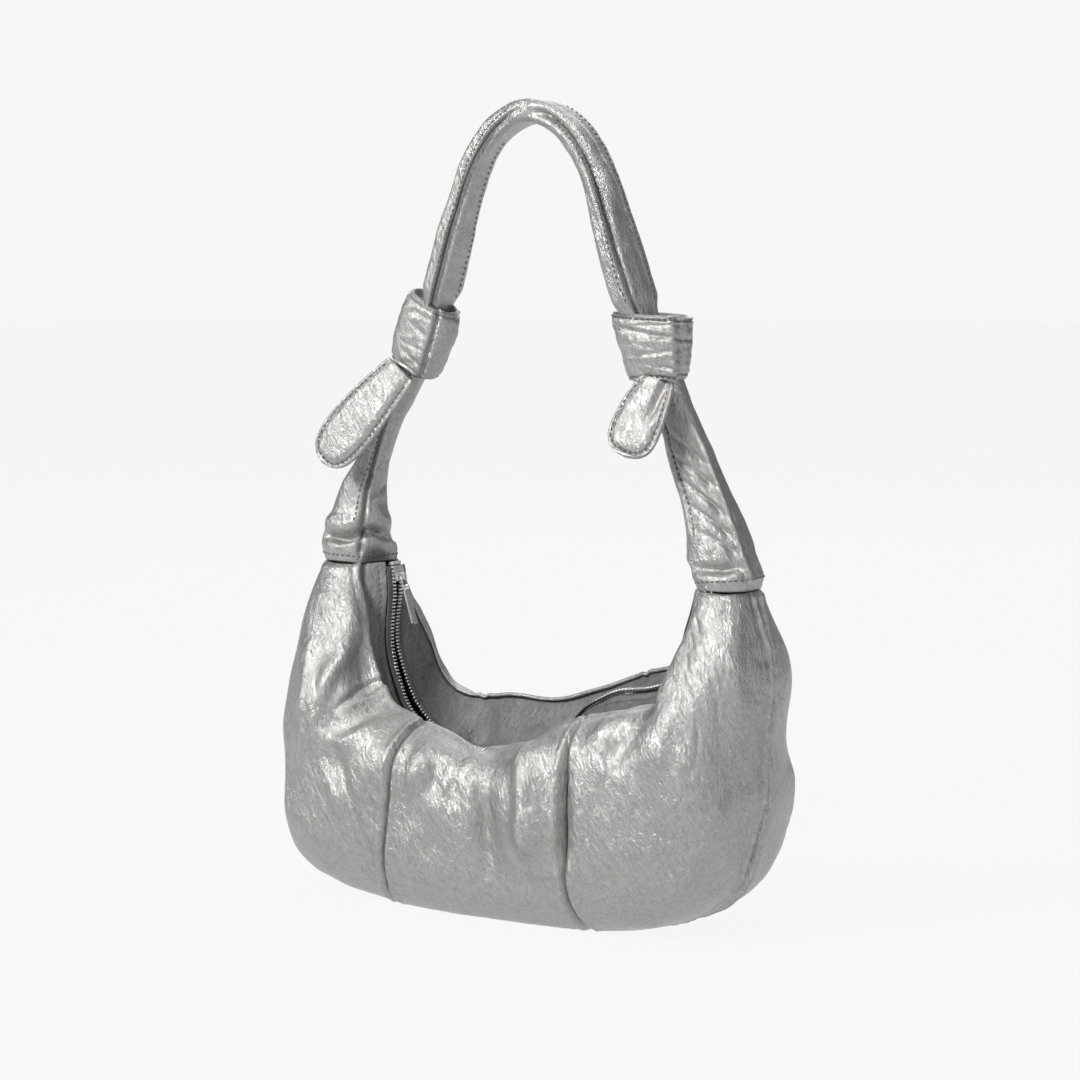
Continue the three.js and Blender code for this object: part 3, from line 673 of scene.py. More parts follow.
def seam_relief(points):
    """Sewn edges: leather turns down into the seam, is raised beside it and puckers."""
    from_start, from_end = across_grid(points, 1)
    from_rim, from_edge = across_grid(points, 0)
    total = np.zeros(points.shape[:-1])
    at_horn = smooth((points[..., 2] - 150) / 36)
    total -= HORN_PINCH * at_horn
    panel_seam = PANEL_SEAM_DEPTH - 1.2 * at_horn
    for distance, along, deep in (
        (from_start, from_rim, panel_seam),
        (from_end, from_rim, panel_seam),
        (from_edge, from_start, END_SEAM_DEPTH),
    ):
        deep = deep * (0.35 + 0.65 * smooth(along / 7))
        total += -deep * bell(distance, GROOVE_WIDTH)
        total += 0.45 * deep * bell(distance - RIDGE_PLACE, RIDGE_WIDTH)
        pucker = np.sin(along / 1.9 + 1.5 * np.sin(along / 6.5))
        total += 0.22 * pucker * bell(distance - 3.5, 3.5)
    total += 0.5 * bell(from_rim - 1.4, 1.6) - 0.35 * bell(from_rim - 5.5, 1.4)
    return total


def shifted(points, normals, offset, side):
    moved = points + normals * np.asarray(offset)[..., None]
    moved[..., 1] = side * np.maximum(side * moved[..., 1], 0.15)
    moved[..., 2] = np.maximum(moved[..., 2], 0.0)
    return moved


PANELS = [
    ("left", HORN_ANGLE, PANEL_SEAM_ANGLE - 0.1, 150),
    ("centre", PANEL_SEAM_ANGLE + 0.1, 180 - PANEL_SEAM_ANGLE - 0.1, 112),
    ("right", 180 - PANEL_SEAM_ANGLE + 0.1, 180 - HORN_ANGLE, 150),
]
PANEL_ROWS = 120
# Filled by make_panels, for the plackets: angle, then the rim's inner and outer points.
RIM_EDGES = {FRONT: [], BACK: []}


def make_panels():
    for face, side in (("front", FRONT), ("back", BACK)):
        for place, start, end, columns in PANELS:
            points, normals, angles = surface_grid(start, end, side, detail(PANEL_ROWS), detail(columns))
            lift = relief(points, side) + seam_relief(points)
            outer = shifted(points, normals, lift, side)
            inner = shifted(points, normals, lift - LEATHER_THICKNESS, side)
            on_floor = points[..., 2] < 0.05
            inner[..., 2] = np.where(on_floor, np.maximum(inner[..., 2], LEATHER_THICKNESS), inner[..., 2])
            RIM_EDGES[side].append(np.column_stack([angles, inner[1], outer[0]]))
            mesh_points, faces = sheet_mesh(outer, inner)
            mesh_points[:, 2] = np.maximum(mesh_points[:, 2], 0)
            panel = make_piece(f"{face}_{place}_panel_leather", mesh_points, faces, LEATHER, "leather")
            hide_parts(f"{face}_panel_{place}")
            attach(panel, "bag")


LINING_GAP, POCKET_GAP = 5.6, 8.0
CLOTH_THICKNESS = 0.8


def make_cloth(name, node, points, normals, lift, side, bulge):
    """A layer of lining, riding with the bag."""
    outer = shifted(points, normals, lift, side)
    inner = shifted(points, normals, lift - CLOTH_THICKNESS, side)
    cloth = make_piece(name, *sheet_mesh(outer, inner, bulge), LINING, "lining")
    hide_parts(node)
    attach(cloth, "bag")


def make_linings():
    for face, side in (("front", FRONT), ("back", BACK)):
        points, normals, _ = surface_grid(17, 163, side, detail(70), detail(160), 0.06, 0.93)
        lift = relief(points, side, fine=False) - LINING_GAP + 0.35 * waves(points, 22, 21 + side)
        make_cloth(f"{face}_lining_cloth", f"lining_{face}", points, normals, lift, side, 0.2)
    points, normals, _ = surface_grid(72, 108, BACK, detail(50), detail(70), 0.3, 0.62)
    from_top, _ = across_grid(points, 0)
    lift = relief(points, BACK, fine=False) - POCKET_GAP - 0.4 * bell(from_top - 3, 2.5)
    make_cloth("slip_pocket_cloth", "inner_slip_pocket", points, normals, lift, BACK, 0.3)


# ---------------------------------------------------------------- mouth: plackets, tape and teeth

CHAIN_FROM, CHAIN_TO = 8.8, 161.0
TAPE_TO = 171.2
# How far the zip's line hangs outside its own circle, by angle: front row, back row.
CHAIN_SAG = np.array([
    [7, 0, 0], [12, 0, 0], [18, 2, 4.5], [26, 9, 14], [31, 14, 19.5], [37, 18.5, 24], [42, 22, 28],
    [47, 25.5, 31], [53, 26.5, 32], [60, 24, 30], [75, 17, 20], [90, 11, 12], [98, 6, 5],
    [103, -2, -1.5], [108, -9, -7], [113, -12.5, -10], [121, -13, -10.5], [127, -11, -8.5],
    [132, -6, -4.5], [137, 0, 0.5], [142, 4.5, 4.5], [148, 4.5, 5], [155, 1.5, 1], [160, 0, 0],
    [173, 0, 0],
])


def chain_point(angle, y, side, height=0.0):
    """A point of a lip, drawn closed at y from the middle and swung open to rest."""
    angle = np.asarray(angle, float)
    front_sag, back_sag = read_table(CHAIN_SAG, angle)
    sag = front_sag if side == FRONT else back_sag
    radius = ZIP_RADIUS + sag - height
    a = np.radians(angle)
    x, z = ZIP_CENTRE_X - radius * np.cos(a), ARC_HEIGHT - radius * np.sin(a) - HINGE_HEIGHT
    turn = side * LIP_REST
    y = side * np.broadcast_to(np.asarray(y, float), x.shape)
    swung_y = y * math.cos(turn) - z * math.sin(turn)
    swung_z = HINGE_HEIGHT + y * math.sin(turn) + z * math.cos(turn)
    return np.stack([x, swung_y, swung_z], -1)


def lip_frame(angle, side):
    """Directions at a chain point: along it, into the bag, and across towards the rim."""
    ahead, behind = chain_point(angle + 0.2, 3, side), chain_point(angle - 0.2, 3, side)
    along = unit(ahead - behind)
    across = unit(chain_point(angle, 6, side) - chain_point(angle, 3, side))
    inward = unit(np.cross(along, across))
    deeper = chain_point(angle, 3, side, -1) - chain_point(angle, 3, side)
    inward = inward * np.sign(np.sum(inward * deeper, -1))[..., None]
    return along, inward, across


TOOTH_PITCH = 2.05
# A tooth's outline: (across the chain, half length along it, half height), from its nose to its root.
TOOTH_SHAPE = [
    (-2.2, 0.25, 0.5), (-1.9, 0.52, 1.0), (-1.1, 0.58, 1.25), (-0.5, 0.36, 1.25), (0.6, 0.5, 1.4),
    (1.0, 0.34, 1.0),
]
CHAMFERED_SQUARE = [(-1, -0.6), (-0.6, -1), (0.6, -1), (1, -0.6), (1, 0.6), (0.6, 1), (-0.6, 1), (-1, 0.6)]


def tooth(centre, along, inward, across):
    rings = [
        [centre + across * part + along * half * a + inward * high * b for a, b in CHAMFERED_SQUARE]
        for part, half, high in TOOTH_SHAPE
    ]
    return tube_mesh(np.array(rings))


def make_teeth(face, side):
    trial = np.linspace(CHAIN_FROM, CHAIN_TO, 800)
    at = lengths_along(chain_point(trial, 3, side))
    shift = 0.0 if side == FRONT else TOOTH_PITCH / 2
    angles = np.interp(np.arange(0.6 + shift, at[-1] - 0.6, TOOTH_PITCH), at, trial)
    along, inward, across = lip_frame(angles, side)
    centres = chain_point(angles, 3.8, side)
    parts = [tooth(*row) for row in zip(centres, along, inward, across)]
    teeth = make_piece(f"{face}_teeth_metal", *joined(parts), ZIP_METAL, "zip_metal")
    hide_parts(f"{face}_zip_teeth")
    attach(teeth, f"{face}_lip")


def make_tape(face, side):
    angles = np.linspace(CHAIN_FROM, TAPE_TO, detail(300))
    offsets = np.linspace(3.4, 8.2, 9)
    outer, inner = [], []
    for y in offsets:
        rib = 0.25 * bell(y - 4.6, 0.5)
        outer.append(chain_point(angles, y, side, 0.35 + rib))
        inner.append(chain_point(angles, y, side, -0.35 - rib))
    points, faces = sheet_mesh(np.array(outer), np.array(inner), 0.15)
    tape = make_piece(f"{face}_tape_cloth", points, faces, TAPE, "zip_tape")
    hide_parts(f"{face}_zip_tape")
    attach(tape, f"{face}_lip")


PLACKET_STEPS = 26
PLACKET_ZIP_EDGE = 6.4
PLACKET_BELOW_TEETH = -1.9
PLACKET_SLACK = 0.17
PLACKET_THICKNESS = 1.3
PLACKET_STITCH_INSET = 3.4
# Where the back placket is pushed in or out: angle, depth, width.
BACK_HOLLOWS = [(66, 10, 5), (97, 9, 6), (82, -4, 7)]


def placket_grid(side, lift):
    """From under the rim to the zip, hanging in a slack curve, with puckers along the stitching."""
    angles = np.linspace(7.3, 172.7, detail(420))
    edges = np.vstack(RIM_EDGES[side])
    start = points_at(edges[:, 1:], edges[:, 0], angles)
    end = chain_point(angles, PLACKET_ZIP_EDGE, side, PLACKET_BELOW_TEETH)
    span = np.linalg.norm(end - start, axis=-1)
    centre = np.array([ZIP_CENTRE_X, 0, ARC_HEIGHT])
    outward = unit((start + end) / 2 * np.array([1, 0, 1]) - centre)
    rows = []
    for t in np.linspace(0, 1, PLACKET_STEPS):
        line = start + (end - start) * t
        middle = math.sin(math.pi * t)
        slack = PLACKET_SLACK * span * middle * (1 - 0.3 * t)
        pucker = 0.5 * waves(line, 11, 40 + side) * middle + 0.9 * waves(line, 34, 42 + side) * middle
        if side == BACK:
            for angle, deep, width in BACK_HOLLOWS:
                pucker = pucker + deep * bell(angles - angle, width) * middle
        to_edge = span * (1 - t)
        stitched = -0.4 * bell(to_edge - PLACKET_STITCH_INSET, 0.9) + 0.35 * bell(to_edge - 1.4, 1.0)
        rows.append(line + outward * (slack + pucker - stitched - lift)[:, None])
    return np.array(rows), span, outward


def make_placket(face, side):
    top, span, outward = placket_grid(side, 0.0)
    under, _, _ = placket_grid(side, -PLACKET_THICKNESS)
    name = f"{face}_placket"
    # The placket takes the darker copy of the leather: painted shade.
    piece = make_piece(name + "_leather", *sheet_mesh(top, under, 0.35), PAINTED_SHADE_LEATHER, "leather")
    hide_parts(name)
    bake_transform(piece)
    part = 1 - PLACKET_STITCH_INSET / np.maximum(span, 5)
    rows = np.linspace(0, 1, PLACKET_STEPS)
    path = np.array([points_at(top[:, c], rows, part[c]) for c in range(len(part))])
    normals = unit(-outward + np.array([0, -side * 0.4, 0]))
    stitches = make_stitches(name, stitch_parts(path, normals, 0.1))
    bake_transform(stitches)


def soften(names, width=0.25):
    """Metal parts keep their CAD shape, with their sharp edges rounded."""
    for name in names:
        node = NODES[name]
        for slot in node.material_slots:
            slot.material = ZIP_METAL
        bevel = node.modifiers.new("rounded edges", "BEVEL")
        bevel.width = width * MM
        bevel.segments = 3
        bevel.limit_method = "ANGLE"
        bevel.angle_limit = math.radians(35)


# ---------------------------------------------------------------- tubes: sleeves, knots and strap


def oblong(centre, u, v, width, thickness, count, roundness):
    a = np.linspace(0, 2 * np.pi, count, endpoint=False) + np.pi
    along, across = signed_power(np.cos(a), roundness), signed_power(np.sin(a), roundness)
    return centre + u * (along * width / 2)[:, None] + v * (across * thickness / 2)[:, None]


def ring_normals(rings):
    around = np.roll(rings, -1, 1) - np.roll(rings, 1, 1)
    along = np.gradient(rings, axis=0)
    normals = unit(np.cross(around, along))
    centres = rings.mean(1, keepdims=True)
    facing = np.sign(np.sum(normals * (rings - centres), -1, keepdims=True).mean())
    return normals * facing


def view_offset(rings):
    """For each point: how far right of its ring's centre it is seen, and how much it faces the camera."""
    centres = rings.mean(1, keepdims=True)
    tangent = unit(np.gradient(rings.mean(1), axis=0))[:, None, :]
    side = unit(np.cross(np.broadcast_to(TOWARDS_CAMERA, tangent.shape), tangent))
    side = side * np.sign(np.sum(side * ACROSS_VIEW, -1, keepdims=True) + 1e-9)
    offset = np.sum((rings - centres) * side, -1)
    half = np.abs(offset).max(1, keepdims=True)
    return offset, half


def path_on(rings, normals, share):
    """The line on the camera's side of a tube that is seen at a share of its half width."""
    offset, half = view_offset(rings)
    facing = np.sum(normals * TOWARDS_CAMERA, -1)
    wanted = np.broadcast_to(np.asarray(share, float), (len(rings),))
    miss = np.abs(offset / half - wanted[:, None]) + np.where(facing > 0.05, 0, 10)
    pick = miss.argmin(1)
    rows = np.arange(len(rings))
    line, up = rings[rows, pick], normals[rows, pick]
    for k in range(3):
        line[:, k] = np.convolve(np.pad(line[:, k], 3, mode="edge"), np.ones(7) / 7, mode="valid")
    return line, up


# Sleeves: height, middle x, seen width, depth as a share of width.
LEFT_SLEEVE = np.array([
    [188, 123, 43, 0.8], [193, 122, 43.5, 0.8], [199, 122, 41, 0.8], [206, 121.5, 36, 0.8],
    [228, 117.5, 26, 0.8], [240, 113, 20.5, 0.8], [250, 109, 18.5, 0.78], [275, 98, 18, 0.75],
    [287, 90.5, 18.5, 0.75], [299, 83, 18.5, 0.75],
])
RIGHT_SLEEVE = np.array([
    [188, 125, 40.5, 0.82], [194, 122.8, 40, 0.82], [200, 120.5, 38, 0.82], [210, 118.3, 35, 0.8],
    [220, 115.4, 31.5, 0.78], [235, 110, 27.5, 0.72], [250, 103.5, 24.6, 0.68], [262, 98, 23.4, 0.68],
    [272, 94, 22, 0.7], [287, 88, 20, 0.75], [299, 83, 19, 0.75],
])
SLEEVE_FOOT = 188.4
SLEEVE_TOP = 299.0


def horn_ring(sign, count):
    """The outline of the horn's top, where the sleeve is sewn on, starting at its inner middle."""
    angle = HORN_ANGLE if sign == LEFT else 180 - HORN_ANGLE
    down = np.linspace(0, 1, 60)
    front, back = surface(angle, down, FRONT), surface(angle, down, BACK)
    inner = (front[0] + back[0]) / 2
    outline = np.vstack([inner[None], front, back[::-1][1:]])
    return resample(outline, count, closed=True)


SLEEVE_ROUNDNESS = 0.8
TOWARDS_BACK = np.array([0, 1.0, 0])
# Over this height the sleeve's outline passes from the horn's to an oblong.
SLEEVE_BLEND_HEIGHT = 18.0
# A tube's seen width comes from its width and depth: squares of the cosine and sine of the view's turn.
SEEN_FROM_WIDTH, SEEN_FROM_DEPTH = 0.7034, 0.2966


def sleeve_rings(sign, table, count, around):
    heights = np.linspace(SLEEVE_FOOT, SLEEVE_TOP, count)
    middle_x, seen_widths, depths = read_table(table, heights)
    centres = np.stack([sign * middle_x, np.zeros(count), heights], -1)
    tangents = unit(np.gradient(centres, axis=0))
    foot = horn_ring(sign, around)
    middle = foot.mean(0)
    foot = foot - unit(foot - middle) * HORN_PINCH
    rings = []
    for centre, tangent, seen, depth, height in zip(centres, tangents, seen_widths, depths, heights):
        width = seen / math.sqrt(SEEN_FROM_WIDTH + SEEN_FROM_DEPTH * depth**2) * 0.97
        u = unit(np.cross(TOWARDS_BACK, tangent)) * sign
        ring = oblong(centre, u, TOWARDS_BACK, width, width * depth, 240, SLEEVE_ROUNDNESS)
        ring = resample(ring, around, True)
        blend_in = smooth((height - SLEEVE_FOOT) / SLEEVE_BLEND_HEIGHT)
        foot_here = foot.copy()
        towards_mouth = smooth(-sign * (foot[:, 0] - middle[0]) / 16)
        foot_here[:, 2] = height - 1.0 * towards_mouth
        rings.append(foot_here * (1 - blend_in) + ring * blend_in)
    return np.array(rings)


def camera_side(rings, edge, width):
    """1 on the side of a tube that the camera sees, fading to 0 round its edge."""
    return smooth((np.sum(ring_normals(rings) * TOWARDS_CAMERA, -1) + edge) / width)


def sleeve_back(height, offset, fold, depth, roll, groove):
    """The unseen side of a sleeve: one fold across it, a roll below and a groove up its middle."""
    back = -depth * bell(height - fold, 2.6) + 0.8 * bell(height - roll, 4)
    return back - 2.2 * bell(offset + groove, 1.6) * smooth((height - 206) / 10)


def left_sleeve_relief(rings):
    offset, half = view_offset(rings)
    height = rings[..., 2]
    facing = camera_side(rings, 0.1, 0.5)
    # a groove up the middle with a ridge beside it
    groove = offset - (0.06 * half + 1.2 * np.sin((height - 190) / 17))
    depth = 3.4 * smooth((height - 189) / 8) * (1 - 0.4 * smooth((height - 250) / 30))
    front = -depth * bell(groove, 1.1) + 1.5 * bell(groove - 2.4, 1.5) * smooth((height - 206) / 8)
    # the deep fold across it, and the rolls above and below
    fold_line = 205.5 - 0.22 * np.abs(groove) + 1.8 * np.sin(groove / 5)
    front += -6.2 * bell(height - fold_line, 2.3) * smooth(np.abs(half - np.abs(offset)) / 5)
    front += 0.8 * bell(height - 197, 4.2) * (1 - bell(groove, 4))
    front += 2.4 * bell(height - fold_line - 8, 5) * (1 - bell(groove, 3))
    # two slanting creases higher up
    for level, lean, deep, width, place, spread in ((222, 0.9, 1.6, 2.6, 8, 6), (236, 1.2, 1.2, 2.2, 5, 5)):
        front += -deep * bell(height - level - lean * groove, width) * bell(groove - place, spread)
    back = sleeve_back(height, offset, 204 - 0.2 * offset, 4.2, 196, 3)
    return front * facing + back * (1 - facing)


def right_sleeve_relief(rings):
    offset, half = view_offset(rings)
    height = rings[..., 2]
    facing = camera_side(rings, 0.1, 0.5)
    # the fold across it and the roll below
    front = -5.0 * bell(height - 201 - 0.10 * offset, 2.4) * smooth((offset + half) / 5)
    front = front * bell(offset + 4, 10)
    front += 1.0 * bell(height - 194.5, 3.4)
    # a ridge up its right side with a hollow beside it
    ridge = offset - (0.52 * half - 0.5 * np.sin((height - 200) / 14))
    below_knot = 1 - smooth((height - 262) / 16)
    front += 2.2 * bell(ridge, 1.6) * smooth((height - 189) / 8) * below_knot
    front += -1.8 * bell(ridge + 4.5, 3.0) * smooth((height - 196) / 10) * below_knot
    # slanting creases, then the groove by its left edge
    creases = [(214, 0.55, 1.5), (224, 0.9, 1.9), (236, 1.1, 2.0), (250, 1.0, 1.5), (262, 1.1, 1.2)]
    for level, lean, deep in creases:
        front += -deep * bell(height - level + lean * offset, 1.9) * bell(offset, 8)
    front += -2.0 * bell(offset + 0.82 * half, 0.9) * smooth((height - 214) / 10)
    back = sleeve_back(height, offset, 202 + 0.2 * offset, 3.8, 195, -2)
    return front * facing + back * (1 - facing)


HEM_STITCH_HEIGHT = 2.6
# Points round each tube.
AROUND = 144


def make_sleeve(name, sign, table, relief_of, stitch_share, stitch_from, stitch_to, nodes):
    rings = sleeve_rings(sign, table, detail(150), AROUND)
    normals = ring_normals(rings)
    above_foot = rings[..., 2] - SLEEVE_FOOT
    lift = relief_of(rings) + 0.14 * waves(rings, 13, 60 + sign) + 0.4 * waves(rings, 34, 62 + sign)
    lift *= smooth(above_foot / 3.5) * 0.9 + 0.1
    lift += -0.4 * bell(above_foot, 0.8)
    rings = rings + normals * lift[..., None]
    sleeve = make_piece(name, *tube_mesh(rings), LEATHER, "leather")
    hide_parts(*nodes)
    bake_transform(sleeve)
    normals = ring_normals(rings)
    chosen = (rings[:, 0, 2] > stitch_from) & (rings[:, 0, 2] < stitch_to)
    line, up = path_on(rings[chosen], normals[chosen], stitch_share)
    hem = int(np.argmin(np.abs(rings[:, 0, 2] - (SLEEVE_FOOT + HEM_STITCH_HEIGHT))))
    stitches = make_stitches(name, stitch_parts(line, up, 0.1) + ring_stitches(rings, normals, hem))
    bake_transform(stitches)


# Knots: x, z, lean in degrees, width, thickness.
LEFT_KNOT = np.array([
    [80.8, 300.5, 26, 27, 22], [79.8, 303, 28, 31, 25.5], [76.8, 312, 29, 34, 28],
    [73, 322, 29, 34.5, 28], [68.8, 334, 28, 32, 26], [67.8, 336.8, 28, 29, 23],
])
RIGHT_KNOT = np.array([
    [79.6, 299.8, 4, 30, 23], [79.4, 302, 3, 34.5, 26], [78.4, 311, 1, 38.5, 28],
    [76.6, 322, -1, 43, 29], [75.2, 330.5, -2, 46, 28.5], [74.8, 333, -2, 44.5, 26.5],
])
KNOT_ROUNDNESS = 0.85
# How a hem rolls in to the strap: how much narrower each ring is, and how far it moves.
HEM_ROLL = [(1.0, 1.5), (2.4, 1.2), (4.2, -0.2), (6.5, -2.0), (9, -3.5)]


def leaning_ring(sign, row, around):
    x, z, lean, width, thickness = row
    a = math.radians(lean)
    u = np.array([sign * math.cos(a), 0, math.sin(a)])
    centre = np.array([sign * x, 0, z])
    return oblong(centre, u, TOWARDS_BACK, width, thickness, around, KNOT_ROUNDNESS)


def rolled_hem(sign, row, around, outward):
    """A hem's rings, from the knot's end row to the strap; outward is 1 at the top end and -1 below."""
    rings = []
    for inset, shift in HEM_ROLL:
        hem = row.copy()
        hem[3:] -= inset
        hem[1] += outward * shift * 0.9
        hem[0] -= outward * shift * 0.45
        rings.append(leaning_ring(sign, hem, around))
    return rings


def knot_rings(sign, table, around):
    """A band wrapped round: rolled hems at both ends, and turned in to the strap inside it."""
    rows = curve_points(table, np.linspace(0, 1, len(table)), np.linspace(0, 1, detail(70)))
    rings = rolled_hem(sign, rows[0], around, -1)[::-1]
    rings += [leaning_ring(sign, row, around) for row in rows]
    return np.array(rings + rolled_hem(sign, rows[-1], around, 1))


def make_knot(name, sign, table, hem_stitches):
    rings = knot_rings(sign, table, AROUND)
    normals = ring_normals(rings)
    offset, half = view_offset(rings)
    share = np.linspace(0, 1, len(rings))[:, None]
    lift = 0.2 * waves(rings, 12, 70 + sign, stretch=(1, 1, 0.4)) + 0.5 * waves(rings, 28, 72 + sign)
    for hem, beside in ((0.11, 0.17), (0.89, 0.83)):
        lift += 1.0 * bell(share - hem, 0.03) - 0.9 * bell(share - beside, 0.025)
    facing = np.sum(normals * TOWARDS_CAMERA, -1) > 0
    if sign == LEFT:
        edge = offset - 0.30 * half
        lift += facing * (-2.0 * bell(edge, 1.2) + 1.0 * bell(edge + 3, 2.0))
    else:
        lift += facing * (1.6 * bell(offset - 0.42 * half, 2.2) - 1.2 * bell(offset - 0.68 * half, 2.4))
        lift += facing * (-1.0 * bell(share - 0.62 + 0.05 * offset / half, 0.02))
    for level, lean in ((0.33, 0.06), (0.46, -0.05), (0.6, 0.04), (0.72, -0.03)):
        lift += -0.8 * bell(share - level + lean * offset / half, 0.018) * smooth(1 - np.abs(offset / half))
    middle = (share > 0.06) & (share < 0.94)
    rings = rings + normals * (lift * middle)[..., None]
    knot = make_piece(name + "_leather", *tube_mesh(rings), LEATHER, "leather")
    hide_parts(name)
    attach(knot, "strap")
    normals = ring_normals(rings)
    parts = []
    for share_at in hem_stitches:
        parts += ring_stitches(rings, normals, int(round(share_at * (len(rings) - 1))))
    if parts:
        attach(make_stitches(name, parts), "strap")


# The shoulder band's line: x, z from each knot to the top.
BAND_HALF_LINE = [
    (55, 368), (51.5, 380), (48, 390), (44, 402), (39.3, 413), (32.5, 424), (23.4, 434), (12, 441),
]
BAND_WIDTH, BAND_THICKNESS, BAND_ROUNDNESS = 25.0, 11.5, 0.62


def band_line(count):
    left = [(67, 333), (62.6, 344), (58.4, 357), *BAND_HALF_LINE]
    right = [(69.5, 330), (64.5, 341), (59.5, 355), *BAND_HALF_LINE]
    points = [(-x, 0, z) for x, z in left] + [(0, 0, 443.5)] + [(x, 0, z) for x, z in reversed(right)]
    points = np.array(points, float)
    at = lengths_along(points)
    line = curve_points(points, at, np.linspace(0, at[-1], count))
    for _ in range(6):
        line[1:-1] = (line[:-2] + 2 * line[1:-1] + line[2:]) / 4
    return line


def band_fullness(share):
    """How full the band is, by share of its length: fuller at the right, narrower inside the knots."""
    fuller = 1 + 0.14 * (1 - smooth((share - 0.13) / 0.13)) + 0.10 * smooth((share - 0.5) / 0.1)
    fuller += 0.26 * smooth((share - 0.68) / 0.22)
    return fuller * (0.76 + 0.24 * smooth((np.minimum(share, 1 - share) - 0.008) / 0.045))


def band_relief(rings, along_mm):
    offset, half = view_offset(rings)
    s = np.linspace(0, 1, len(rings))[:, None]
    facing = camera_side(rings, 0.05, 0.4)
    on_left, on_right = smooth((0.5 - s) / 0.08), smooth((s - 0.5) / 0.08)
    # left branch: two folded edges lie side by side; they part towards the top
    first = -0.34 + 0.30 * smooth((s - 0.12) / 0.4)
    lift = np.zeros(offset.shape)
    for height, beside, width in ((-3.6, 0, 0.8), (-2.2, 0.20, 0.7), (1.0, -0.2, 1.6), (1.2, 0.5, 3.4)):
        lift += height * bell(offset - (first + beside) * half, width) * on_left
    # right branch: the fold opens as a dark channel beside a puffed wing
    opening = smooth((0.97 - s) / 0.3)
    channel = -0.26 + 0.12 * (s - 0.75) / 0.25
    puff = 1.6 + 0.9 * np.sin(along_mm / 9.5) + 0.6 * np.sin(along_mm / 5.3 + 1)
    for height, beside, width in (
        (-(3.0 + 3.0 * opening), 0, 0.9 + 1.6 * opening),
        (1.2, -0.32, 1.8),
        (puff, 0.62, 3.2),
        (-1.6, 0.98, 0.8),
    ):
        lift += height * bell(offset - (channel + beside) * half, width) * on_right
    lift = lift * facing
    lift += (1 - facing) * (-3.0 * bell(offset, 1.0) + 0.9 * bell(np.abs(offset) - 3, 1.6))
    return lift + 0.1 * waves(rings, 9, 81) + 0.35 * waves(rings, 28, 82)


# Rows of stitches on the band: start and end as shares of its length, share of the seen half width.
BAND_STITCHES = [(0.03, 0.47, -0.50), (0.03, 0.40, 0.86), (0.56, 0.97, -0.52), (0.54, 0.97, 0.86)]


def make_strap():
    count = detail(420)
    line = band_line(count)
    tangents = unit(np.gradient(line, axis=0))
    share = np.linspace(0, 1, count)
    rings = []
    for centre, tangent, full, at_top in zip(line, tangents, band_fullness(share), bell(share - 0.5, 0.1)):
        u = unit(np.cross(TOWARDS_BACK, tangent))
        thick = BAND_THICKNESS * (full + 0.22 * at_top)
        ring = oblong(centre, u, TOWARDS_BACK, thick, BAND_WIDTH * full, 300, BAND_ROUNDNESS)
        rings.append(resample(ring, AROUND, True))
    rings = np.array(rings)
    lift = band_relief(rings, share[:, None] * lengths_along(line)[-1])
    rings = rings + ring_normals(rings) * lift[..., None]
    strap = make_piece("shoulder_band_leather", *tube_mesh(rings), LEATHER, "leather")
    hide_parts("shoulder_strap")
    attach(strap, "strap")
    normals = ring_normals(rings)
    parts = []
    for start, end, seen_share in BAND_STITCHES:
        rows = slice(int(start * count), int(end * count))
        parts += stitch_parts(*path_on(rings[rows], normals[rows], seen_share), 0.1)
    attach(make_stitches("shoulder_band", parts), "strap")


# ---------------------------------------------------------------- free ends of the knots

# A tail's outline from its root: share of its length, share of its width there.
TAIL_OUTLINE = np.array([
    [0, 0.70], [0.1, 0.78], [0.3, 0.90], [0.55, 1.0], [0.74, 0.99], [0.86, 0.88], [0.94, 0.66],
    [0.985, 0.36], [1.0, 0.05],
])
TAIL_THICKNESS = 4.0
TAIL_BOW = 1.6
TAIL_STITCH_INSET = 2.7


def tail_rings(root, along, u, v, width, crease_seed, fold):
    """Rings of a flat rounded tongue, its broad face turned to the front."""
    parts = 1 - (1 - np.linspace(0, 1, detail(90))) ** 1.4
    a = np.linspace(0, 2 * np.pi, 96, endpoint=False)
    x, y = signed_power(np.cos(a), 0.75), signed_power(np.sin(a), 0.55)
    rings = []
    for part, wide in zip(parts, read_table(TAIL_OUTLINE, parts)[0] * width):
        centre = root + along * part + v * TAIL_BOW * math.sin(math.pi * part)
        q = x * wide / 2
        inset = np.minimum(wide / 2 - np.abs(q), (1 - part) * np.linalg.norm(along))
        puff = 0.9 * smooth((inset - 2.8) / 4) - 0.7 * bell(inset - TAIL_STITCH_INSET, 0.7)
        creases = 0.3 * np.sin((part * 11 + 2.0 * x) + crease_seed) * smooth((inset - 3) / 3)
        lift = TAIL_THICKNESS / 2 * y + np.sign(y) * (puff + 0.5 * creases)
        fold_here = fold * (1 - smooth((part - 0.3) / 0.35))
        lift += -3.2 * fold_here * bell(x + 0.5 - 0.25 * part, 0.2) * (y > 0)
        between_layers = -0.8 * bell(y, 0.35) * (np.abs(x) > 0.8) * np.sign(x)
        rings.append(centre + u * (q + between_layers)[:, None] + v * lift[:, None])
    return np.array(rings)


